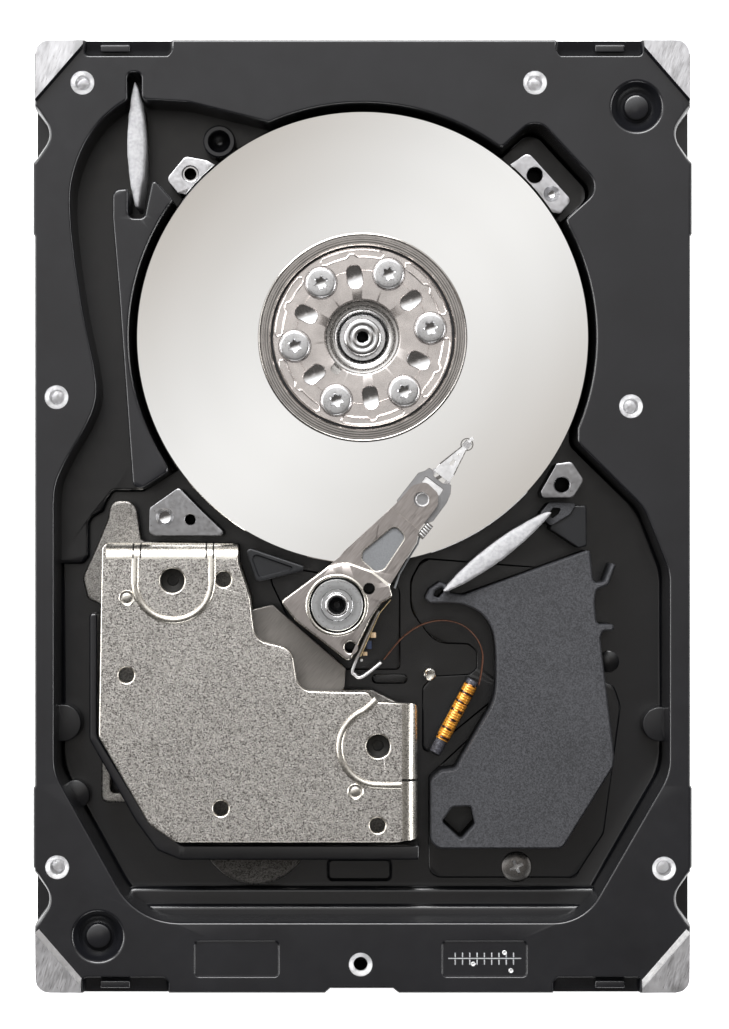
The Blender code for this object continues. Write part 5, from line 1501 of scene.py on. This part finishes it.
def make_upper_yoke():
    """The plate over the coil: bent flanges, pressed ribs, holes and staked posts."""
    low, top = bottom_of("upper_magnet") + 2.8, YOKE_TOP
    corners = [(-40.3, -4.0, 1.2), (-19.3, -4.2, 0.8), (-19.2, -7.0, 1.0)] + INNER_EDGE
    corners += [(0.9, -27.1, 0.9), (1.9, -28.6, 0.7), (8.5, -29.0, 0.8), (8.5, -49.8, 0.6),
                (5.2, -50.4, 0.6), (-29.0, -50.4, 2.5), (-33.0, -47.6, 2.0), (-40.8, -34.0, 2.0)]
    yoke = new_piece("upper_yoke_detail",
                     plate(rounded(corners, 8), edges(low, top, 0.15, 0.35, 4)), PLATED)
    holes = bmesh.new()
    round_holes = [(OUTER_STOP, 1.85), (INNER_STOP, 1.78)]
    for centre, radius in round_holes + [(hole, 1.17) for hole in YOKE_HOLES]:
        add_turned(holes, [(0, low - 1), (radius, low - 1), (radius, top - 0.3),
                           (radius + 0.1, top - 0.1), (radius + 0.32, top + 0.01),
                           (radius + 0.32, top + 1), (0, top + 1)], centre, 48)
    carve(yoke, holes, PLATED_EDGE_AND_HIGHLIGHT)
    for start, finish, turn in ((-39.6, -18.6, lambda along, across, z: (along, -6.6 + across, z)),
                                (-51.5, -28.0, lambda along, across, z: (6.1 + across, along, z))):
        carve(yoke, bend_cutter(start, finish, top, 2.4, turn), PLATED_EDGE_AND_HIGHLIGHT)
    flanges = bmesh.new()
    add_plate(flanges, rectangle((-38.6, -20.0), (-5.3, -4.25), 0.2), edges(14.6, 22.2, 0.3, 0.0))
    add_plate(flanges, rectangle((7.2, 8.4), (-48.8, -30.2), 0.2), edges(14.6, 22.2, 0.3, 0.0))
    join(yoke, flanges, PLATED_EDGE_AND_HIGHLIGHT)
    x, y = OUTER_STOP
    u_path = [(x - 5.75, y + 3.6), (x - 5.75, y)] + arc((x + 0.2, y - 0.2), 5.95, 185.0, 355.0, 24)
    u_path += [(x + 6.15, y), (x + 6.15, y + 3.6)]
    join(yoke, bead(u_path, 1.15, 0.42, top), PLATED_EDGE_AND_HIGHLIGHT)
    x, y = INNER_STOP
    arc_path = [(x - 0.3, y + 7.2), (x - 1.2, y + 6.3)] + arc((x, y - 0.1), 5.95, 112.0, 262.0, 22)
    arc_path += [(x + 1.5, y - 6.1), (x + 3.6, y - 6.1)]
    join(yoke, bead(arc_path, 1.1, 0.42, top), PLATED_EDGE_AND_HIGHLIGHT)
    splits = bmesh.new()
    slots = [rectangle((x - 0.12, x + 0.12), (-6.5, -3.0), 0.1)
             for x in (-35.45, -34.3, -24.15, -23.05)]
    for slot in slots + [rectangle((6.0, 10.0), (-40.95, -40.55), 0.15)]:
        add_plate(splits, slot, [(0, 18.0), (0, top + 1)])
    # the slits are lined with dark steel: painted shade inside them
    carve(yoke, splits, DARK_STEEL)
    rivets = bmesh.new()
    for node in ("yoke_post_1", "yoke_post_2"):
        add_turned(rivets, [(0, top - 0.5), (1.25, top - 0.5), (1.25, top + 0.08),
                            (1.12, top + 0.18), (0.92, top + 0.12), (0.82, top - 0.03),
                            (0.62, top + 0.05), (0.4, top + 0.12), (0, top + 0.10)],
                   centre_of(node), 40)
    join(yoke, rivets, PLATED_EDGE_AND_HIGHLIGHT)
    paint(yoke, PLATED_EDGE_AND_HIGHLIGHT, lambda at, up: 0.2 < up.z < 0.93 and at.z > top - 0.5)
    stand_in(yoke, "upper_yoke")


def make_lower_yoke():
    """The plate under the coil, with its tab, its round lobe and its side loop."""
    low, top = span("lower_yoke")
    corners = [(-40.0, -0.4, 1.0), (-39.6, 2.5, 1.9), (-35.6, 2.4, 1.9), (-34.7, -3.9, 0.8),
               (-19.3, -4.2, 0.6), (-19.2, -7.0, 1.0)] + INNER_EDGE
    corners += [(1.5, -27.2, 0.8), (8.3, -30.6, 1.5), (8.3, -49.9, 0.5), (-7.9, -49.9, 0.5)]
    corners += arc((-16.8, -49.2), 8.6, -6.0, -174.0, 40)
    corners += [(-29.5, -50.2, 2.0), (-33.6, -44.9), (-41.0, -44.9, 0.9), (-41.0, -36.6, 0.9),
                (-40.9, -35.0), (-40.9, -14.0, 0.6), (-43.2, -12.9, 1.0), (-44.0, -9.6, 1.6),
                (-41.9, -5.0, 1.0)]
    loop = rounded([(-39.5, -37.2, 0.7), (-35.9, -43.4, 0.7), (-39.5, -43.4, 0.7)])
    # the lower yoke takes the darker plated copy: painted shade
    yoke = new_piece("lower_yoke_detail",
                     plate(rounded(corners, 8), edges(low, top, 0.15, 0.3, 3), [loop]), PLATED_PAINTED_SHADE)
    # the top of the round lobe is painted darker still: painted shadow of the motor shield over it
    paint(yoke, LOBE_PAINTED_SHADOW, lambda at, up: at.y < -50.0 and up.z > 0.93)
    paint(yoke, PLATED_EDGE_AND_HIGHLIGHT, lambda at, up: 0.2 < up.z < 0.93)
    stand_in(yoke, "lower_yoke")


def make_motor_parts():
    """Magnets, stops, the shield round the motor, and the air spoiler beside it."""
    for node in ("lower_magnet", "upper_magnet"):
        outline = clean(arc(PIVOT, 30.0, 191.0, 267.0, 48) + arc(PIVOT, 15.5, 267.0, 191.0, 30))
        remake(node, plate(outline, edges(bottom_of(node), top_of(node), 0.2, 0.2)), NICKEL)
    for node in ("crash_stop_outer", "crash_stop_inner"):
        low, high = span(node)
        profile = [(0, low), (2.1, low), (2.2, low + 0.1), (2.2, low + 1.0), (1.7, low + 1.5),
                   (1.7, high - 1.5), (2.2, high - 1.0), (2.2, high - 0.15), (2.05, high),
                   (0.9, high), (0.75, high - 0.6), (0, high - 0.7)]
        remake(node, turned(profile, centre_of(node), 48), BLACK_RUBBER)
    for node in ("yoke_post_1", "yoke_post_2"):
        low, high = span(node)
        profile = [(0, low), (1.5, low), (1.6, low + 0.1), (1.6, high - 0.1), (1.5, high),
                   (0, high)]
        remake(node, turned(profile, centre_of(node), 40), POLISHED_STEEL)
    shield = [(-42.4, -15.0, 0.6), (-42.4, -34.6, 2.0), (-35.2, -47.3, 0.5), (-31.9, -51.8, 1.5),
              (-28.3, -53.3, 1.5), (8.8, -53.3, 0.5), (8.8, -51.0, 0.3), (-28.0, -51.0, 1.5),
              (-33.4, -46.6, 1.5), (-41.2, -34.0, 1.5), (-41.2, -15.0, 0.4)]
    low, high = span("motor_shield")
    remake("motor_shield", plate(rounded(shield, 8), edges(low, high, 0.2, 0.35)), BLACK_COAT)
    wedge = [(-18.3, -4.6, 0.6), (-9.0, -7.7, 0.35), (-9.2, -8.5, 0.35), (-16.4, -10.2, 0.6)]
    low, high = span("air_spoiler")
    piece = new_piece("air_spoiler_detail", plate(rounded(wedge, 8), edges(low, high, 0.1, 0.25)),
                      SPOILER_BLACK)
    well = rounded([(-17.4, -5.6, 0.6), (-10.4, -8.0, 0.2), (-16.0, -9.5, 0.6)])
    carve(piece, plate(well, [(0.1, high - 0.4), (0.0, high - 0.2), (-0.1, high + 0.01),
                              (-0.1, high + 1)]))
    stand_in(piece, "air_spoiler")


# ---------------------------------------------------------------- filters and housing

def make_filter(node, start, finish, thickness):
    """A pleated pouch of filter cloth, puffed up by a cloth simulation."""
    low, high = span(node)
    length = math.dist(start, finish)
    direction = math.degrees(math.atan2(finish[1] - start[1], finish[0] - start[0]))
    margin, steps = 0.25, 25
    upper = []
    for step in range(steps):
        along = length * step / (steps - 1)
        bulge = math.sin(math.pi * step / (steps - 1)) ** 0.8
        upper.append((along, 0.10 + (thickness / 2 - margin) * bulge))
    outline = polar(start, direction, upper + [(along, -across) for along, across in upper[::-1]])
    levels = [(0.04, low + 0.1), (0.0, low + 0.5), (0.0, high - 0.5), (0.04, high - 0.1)]
    soften(new_piece(f"{node}_detail", plate(outline, levels), FABRIC), node, 0.55)


def soften(piece, node, voxel):
    """Turn a stiff pouch into a soft one, and let it stand for its CAD node."""
    puff_up(piece, voxel)
    piece.modifiers.new("subdivision", "SUBSURF").levels = 1
    apply_modifiers(piece)
    wrinkle(piece)
    stand_in(piece, node, angle=60.0)


def puff_up(piece, voxel):
    """Remesh a pouch, blow it up as cloth, and cap how far each point moves."""
    limit, frames = 0.35, 20
    remesh = piece.modifiers.new("remesh", "REMESH")
    remesh.mode = "VOXEL"
    remesh.voxel_size = voxel * MM
    apply_modifiers(piece)
    before = [vert.co.copy() for vert in piece.data.vertices]
    cloth = piece.modifiers.new("cloth", "CLOTH")
    cloth.settings.use_pressure = True
    cloth.settings.uniform_pressure_force = 4.0
    cloth.settings.effector_weights.gravity = 0.0
    cloth.settings.quality = 6
    cloth.point_cache.frame_start = 1
    cloth.point_cache.frame_end = frames
    for number in range(1, frames + 1):
        bpy.context.scene.frame_set(number)
    apply_modifiers(piece)
    bpy.context.scene.frame_set(1)
    for vert, rest in zip(piece.data.vertices, before):
        moved = vert.co - rest
        if moved.length > limit * MM:
            vert.co = rest + moved.normalized() * limit * MM


def wrinkle(piece):
    """Press the soft vertical creases of folded cloth into a pouch."""
    depth = 0.07
    normals = [vert.normal.copy() for vert in piece.data.vertices]
    for vert, normal in zip(piece.data.vertices, normals):
        at = vert.co / MM
        crease = noise.noise(Vector((at.x * 0.55, at.y * 0.55, at.z * 0.12)))
        fine = noise.noise(Vector((at.x * 1.7, at.y * 1.7, at.z * 0.4)))
        vert.co += normal * (crease * depth + fine * depth * 0.35) * MM


def make_filters():
    """The two air filters and the clip that holds one end of the right one."""
    make_filter("filter_left", (-35.15, 67.5), (-34.9, 47.2), 3.0)
    make_filter("filter_right", (29.4, 0.9), (12.3, -11.9), 3.0)
    node = "filter_clip"
    low, high = span(node)
    eye = rounded([(27.4, 0.3, 0.7), (29.0, 2.2, 0.6), (33.3, 2.1, 0.4), (32.2, 0.3, 0.8),
                   (29.2, -1.5, 0.6)], 8)
    slit = rounded([(28.7, 0.3, 0.25), (29.6, 1.4, 0.25), (30.9, 1.3, 0.25), (30.4, 0.35, 0.25),
                    (29.5, -0.3, 0.25)], 4)
    piece = new_piece("filter_clip_detail", plate(eye, edges(low, high, 0.05, 0.12)), GREY_PLASTIC)
    bracket = rounded([(31.4, 1.7, 0.2), (34.8, 1.7, 0.4), (34.8, -4.6, 0.4), (33.6, -4.9, 0.4),
                       (29.0, -1.9, 0.4), (29.6, -1.0, 0.1)])
    join(piece, plate(bracket, edges(low + 0.1, high - 0.4, 0.0, 0.2)), SPOILER_BLACK)
    # the slit is lined with black plastic: painted shade inside it
    carve(piece, plate(slit, [(0.0, high - 4.0), (0.0, high + 1.0)]), BLACK_PLASTIC)
    stand_in(piece, node)


def make_housing():
    """The grained plastic housing of the recirculation filter."""
    low, high = span("filter_housing")
    inner_edge = smooth([(12.2, -13.45), (14.2, -13.5), (16.2, -13.9), (18.5, -15.2),
                         (20.1, -17.5), (20.7, -20.8), (20.7, -26.4), (20.0, -29.4),
                         (18.3, -32.4), (15.4, -37.4)], 6)
    corners = inner_edge + [
        (14.4, -39.3, 0.8), (12.2, -39.5, 1.0), (10.5, -41.0, 1.4), (10.5, -51.6, 2.0),
        (31.0, -51.6, 1.6), (38.9, -38.9, 1.0), (39.1, -37.2, 1.0), (36.9, -18.9, 0.6),
        (37.3, -17.8, 0.6), (39.1, -17.7, 0.4), (38.9, -16.75, 0.4), (36.3, -16.75, 0.8),
        (36.0, -13.3, 2.0), (36.3, -11.4, 0.8), (38.2, -10.6, 0.8), (39.35, -7.5, 0.3),
        (38.65, -7.2, 0.3), (37.5, -10.2, 0.6), (35.8, -10.4, 0.8), (35.3, -5.1, 0.5),
        (15.6, -12.2, 1.5), (13.6, -11.9, 0.4), (13.1, -10.6, 0.4), (12.0, -10.15, 0.4),
        (10.35, -11.3, 0.6), (9.6, -12.75, 0.5), (10.4, -13.5, 0.5)]
    eye = rounded([(10.9, -12.35, 0.3), (11.3, -11.5, 0.3), (12.3, -11.0, 0.2), (12.7, -11.6, 0.2),
                   (11.8, -12.6, 0.3)], 6)
    window = rounded([(12.3, -47.4, 0.5), (15.3, -50.2, 0.5), (17.4, -47.8, 0.5),
                      (16.8, -45.0, 0.5), (13.9, -45.1, 0.7)])
    levels = [(0.0, low), (0.0, high - 0.45), (0.05, high - 0.28), (0.16, high - 0.12), (0.3, high)]
    housing = new_piece("filter_housing_detail",
                        plate(rounded(corners, 8), levels, [window, eye]), GREY_PLASTIC)
    cavity = rounded([(22.5, -15.0, 1.5), (34.3, -10.5, 1.5), (34.3, -18.0, 1.5),
                      (36.6, -36.6, 1.5), (29.6, -49.0, 1.5), (20.0, -49.0, 1.5),
                      (20.0, -34.0, 1.5), (22.5, -29.0, 1.5)])
    carve(housing, plate(cavity, [(0, low - 1.0), (0, high - 1.4)]))
    stand_in(housing, "filter_housing")
    node = "desiccant_pack"
    pack = rounded([(23.5, -17.0, 1.0), (33.2, -14.0, 1.0), (35.2, -36.0, 1.0), (29.0, -47.5, 1.0),
                    (21.2, -47.5, 1.0), (21.2, -34.5, 1.0), (23.5, -30.0, 1.0)])
    levels = edges(bottom_of(node) + 0.2, top_of(node) - 0.3, 0.8, 0.8)
    soften(new_piece("desiccant_pack_detail", plate(pack, levels), FABRIC), node, 0.9)
    make_cross_screw()


def make_cross_screw():
    """The housing's broad screw, with a cross recess."""
    node = "housing_screw"
    centre = centre_of(node)
    low, top = span(node)
    profile = [(0, low), (1.2, low), (1.2, top - 1.4), (2.3, top - 1.4), (2.4, top - 1.3),
               (2.4, top - 0.5), (2.3, top - 0.25), (1.9, top - 0.08), (1.3, top), (0, top)]
    screw = new_piece("housing_screw_detail", turned(profile, centre, 56), DARK_STEEL)
    cross = bmesh.new()
    arms = []
    for quarter in range(4):
        arms += [(1.15, 25.0 + 90 * quarter - 12), (1.15, 25.0 + 90 * quarter + 12),
                 (0.42, 25.0 + 90 * quarter + 45)]
    outline = [arc(centre, radius, angle, angle + 1, 2)[0] for radius, angle in arms]
    add_plate(cross, outline, [(0.05, top - 0.9), (0.03, top - 0.3), (0.0, top), (0.0, top + 1)])
    carve(screw, cross, DARK_STEEL)
    carve(screw, turned([(0, top - 1.5), (1.5, top - 0.75), (1.5, top - 0.7), (0, top - 0.7)],
                        centre, 36), BRIGHT_METAL)
    stand_in(screw, node)


# ---------------------------------------------------------------- flex circuit, board, connector

WRAP_START = (16.9, -26.2)
WRAP_END = (11.7, -36.0)
LOOP_START = (3.3, -22.3)       # where the flex leaves the bright hook
LOOP_END = (18.1, -26.3)        # where it meets the wound bar


def make_flex():
    """The wound bar, its bracket, the loop of flex and the ground pin."""
    length = math.dist(WRAP_START, WRAP_END)
    ahead = ((WRAP_END[0] - WRAP_START[0]) / length, (WRAP_END[1] - WRAP_START[1]) / length)
    direction = math.degrees(math.atan2(ahead[1], ahead[0]))
    low, high = span("flex_bracket")
    post = rounded(polar(WRAP_START, direction,
                         both_sides([(-0.8, -0.9, 0.3), (length + 1.2, -0.9, 0.3)])))
    remake("flex_bracket", plate(post, edges(low, high, 0.1, 0.2)), BLACK_PLASTIC)
    start = WRAP_START[0] * ahead[0] + WRAP_START[1] * ahead[1]
    film = amber_finish("amber_wrap", start - 0.4, ahead, 1.55)
    base = bottom_of("flex_wrap")
    bar = new_piece("flex_wrap_detail", wound_bar(0.0, length - 1.4, direction, base, 1.1), film)
    for near, far in ((-0.75, 0.15), (length - 1.5, length + 0.9)):
        join(bar, wound_bar(near, far, direction, base + 0.02, 0.92), WINDOW_BLACK)
    stand_in(bar, "flex_wrap")
    loop = smooth([LOOP_START, (6.2, -18.9), (9.2, -16.9), (12.4, -16.2), (15.5, -16.9),
                   (17.7, -18.9), (18.7, -21.4), (18.5, -24.4), LOOP_END], 12)
    low, high = span("flex_loop")
    levels = [(0, low + (high - low) * step / 6) for step in range(7)]
    strip = new_piece("flex_loop_detail", plate(ribbon(loop, 0.13), levels), FLEX_FILM)
    shade(strip)
    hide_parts("flex_loop")
    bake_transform(strip)
    low, high = span("ground_pin")
    pin = [(0, low), (0.97, low), (0.97, high - 0.35), (0.9, high - 0.12), (0.72, high),
           (0.6, high - 0.02), (0.5, high - 0.25), (0, high - 0.35)]
    remake("ground_pin", turned(pin, centre_of("ground_pin"), 40), NICKEL)


def wound_bar(near, far, direction, base, radius):
    """A half-round bar along the wrap, its surface ridged by the turns of film."""
    bm = bmesh.new()
    sections = []
    count = 40
    for index in range(count + 1):
        along = near + (far - near) * index / count
        reach = radius * (1.0 - 0.03 * (0.5 + 0.5 * math.cos(2 * math.pi * along / 0.78)))
        if index in (0, count):
            reach *= 0.93
        ring = []
        for across, height in arc((0, base), reach, 0, 180, 17):
            point = polar(WRAP_START, direction, [(along, across)])[0]
            ring.append((point[0], point[1], height))
        sections.append(ring)
    made = add_rings(bm, sections)
    bm.faces.new(made[0])
    bm.faces.new(made[-1])
    return bm


def make_connector():
    """The host connector: a shell, its tongue, and gilt contacts on both faces."""
    node = "interface_connector"
    low, high = span(node)
    shell = rectangle((-21.3, 21.3), (-73.2, -64.0), 0.6)
    body = new_piece("interface_connector_detail", plate(shell, edges(low, high, 0.25, 0.25)),
                     BLACK_PLASTIC)

    def facing(u, v, w):
        return (u, -w, v)

    mouth = bmesh.new()
    add_plate(mouth, rectangle((-19.6, 19.6), (1.6, 5.4), 0.5),
              [(0, 67.0), (0, 72.9), (-0.25, 73.25), (-0.25, 76.0)], place=facing)
    carve(body, mouth)
    tongue = bmesh.new()
    for x_range in ((-18.6, 1.6), (3.0, 15.6)):
        add_plate(tongue, rectangle(x_range, (2.9, 4.1), 0.1),
                  [(0.0, 66.0), (0.0, 72.0), (0.25, 72.5)], place=facing)
    join(body, tongue)
    stand_in(body, node)
    contacts = bmesh.new()
    for count, start, face in ((15, -17.7, 4.1), (7, 4.0, 4.1), (15, -17.7, 2.9), (7, 4.0, 2.9)):
        for number in range(count):
            x = start + 1.27 * number
            contact = rectangle((x - 0.32, x + 0.32), (face - 0.06, face + 0.06), 0.03)
            add_plate(contacts, contact, [(0, 67.2), (0, 72.0)], place=facing)
    strips = new_piece("connector_contacts", contacts, GILT)
    add_extra(strips, "base")


def dress_remaining_nodes():
    """Better finishes for the CAD nodes whose own shape is right."""
    finishes = {"motor_bracket": CAST_METAL, "stator_core": LAMINATED, "stator_winding": COPPER,
                "spindle_bearing": POLISHED_STEEL, "rotor_magnet": MAGNET_BLACK,
                "circuit_board": BOARD, "controller_chip": BLACK_PLASTIC}
    for node, finish in finishes.items():
        for slot in frame["nodes"][node].material_slots:
            slot.material = finish


# ---------------------------------------------------------------- studio

CAMERA_HEIGHT = 0.700           # metres above the deck


def make_studio():
    """A pale floor, a soft world that is brighter on one side, four softboxes, a camera."""
    floor_mesh = bmesh.new()
    bmesh.ops.create_grid(floor_mesh, x_segments=1, y_segments=1, size=1.5)
    floor = new_piece("floor", floor_mesh, floor_finish())
    floor.location.z = cad_bounds[0][2] - 0.0002
    make_world()
    add_light("key", (-0.18, 0.66, 0.60), (0.80, 0.45), 13.0)
    add_light("left", (-0.80, 0.05, 0.30), (0.60, 0.25), 3.5)
    add_light("right", (0.80, -0.10, 0.30), (0.60, 0.25), 3.5)
    add_light("front", (0.10, -0.85, 0.26), (0.60, 0.20), 1.5)
    camera = bpy.data.objects.new("camera", bpy.data.cameras.new("camera"))
    camera.data.sensor_fit = "VERTICAL"
    camera.data.sensor_height = 36.0
    camera.data.lens = 158.8
    camera.data.clip_end = 10.0
    camera.location = (0.0003, 0.0003, CAMERA_HEIGHT + DECK * MM)
    bpy.context.scene.collection.objects.link(camera)
    bpy.context.scene.camera = camera
    bpy.context.scene.view_settings.view_transform = "Standard"


def add_light(name, place, size, power):
    """A rectangular softbox that faces the object."""
    lamp = bpy.data.lights.new(name, "AREA")
    lamp.shape = "RECTANGLE"
    lamp.size, lamp.size_y = size
    lamp.energy = power
    light = bpy.data.objects.new(name, lamp)
    light.location = place
    aim = Vector((0.0, 0.0, 0.02)) - Vector(place)
    light.rotation_euler = aim.to_track_quat("-Z", "Y").to_euler()
    bpy.context.scene.collection.objects.link(light)


def make_world():
    """A soft grey surround: pale straight overhead and to +Y, dim to -Y."""
    world = bpy.data.worlds.new("studio")
    world.use_nodes = True
    bpy.context.scene.world = world
    tree = world.node_tree
    direction = add_node(tree, "ShaderNodeTexCoord").outputs["Generated"]
    parts = add_node(tree, "ShaderNodeSeparateXYZ", {"Vector": direction}).outputs

    def arithmetic(operation, first, second=0.0, third=0.0):
        return add_node(tree, "ShaderNodeMath", {0: first, 1: second, 2: third},
                        operation=operation).outputs[0]

    def ramped(value, start, end, low=0.0, high=1.0):
        return add_node(tree, "ShaderNodeMapRange",
                        {"Value": value, "From Min": start, "From Max": end, "To Min": low,
                         "To Max": high}, interpolation_type="SMOOTHSTEP").outputs["Result"]

    # a pale band that crosses the sky from corner to corner, seen in the platter
    band_shift, band_peak, band_fall, band_softness, band_floor = 0.0375, 1.27, -8.1, 0.00012, 0.5
    across = arithmetic("ADD", arithmetic("SUBTRACT", parts["X"], parts["Y"]), band_shift)
    from_band = arithmetic("SQRT", arithmetic("MULTIPLY_ADD", across, across, band_softness))
    overhead = arithmetic("MULTIPLY_ADD", from_band, band_fall, band_peak)
    overhead = arithmetic("MAXIMUM", overhead, band_floor)
    # the rest of the sky: brighter to +Y, and darker near the horizon
    towards = arithmetic("MULTIPLY_ADD", parts["X"], -0.35, parts["Y"])
    around = arithmetic("MULTIPLY", ramped(towards, -0.12, 0.42, 0.10, 1.55),
                        ramped(parts["Z"], 0.05, 0.75, 0.25, 1.0))
    from_middle = add_node(tree, "ShaderNodeVectorMath", {0: direction, 1: (0.0, 0.052, 0.9986)},
                           operation="DISTANCE").outputs["Value"]
    level = add_node(tree, "ShaderNodeMix", {0: ramped(from_middle, 0.158, 0.075), 2: around,
                                             3: overhead}).outputs[0]
    capped = arithmetic("MINIMUM", arithmetic("MAXIMUM", level, 0.04), 1.5)
    warmth = add_node(tree, "ShaderNodeValToRGB", {"Fac": level})
    for element, (position, colour) in zip(warmth.color_ramp.elements, (
            (0.65, (1.0, 0.935, 0.875, 1.0)), (1.0, (1.0, 1.0, 1.0, 1.0)))):
        element.position = position
        element.color = colour
    background = tree.nodes["Background"]
    tree.links.new(capped, background.inputs["Strength"])
    tree.links.new(warmth.outputs["Color"], background.inputs["Color"])


# ---------------------------------------------------------------- build

make_casting()
make_platters()
make_clamp()
make_spindle()
make_block()
make_pivot()
for suspension_number in range(1, 9):
    make_suspension(suspension_number)
make_carrier()
make_arm_circuit()
make_arm_leads()
make_upper_yoke()
make_lower_yoke()
make_motor_parts()
make_filters()
make_housing()
make_flex()
make_connector()
dress_remaining_nodes()
make_studio()
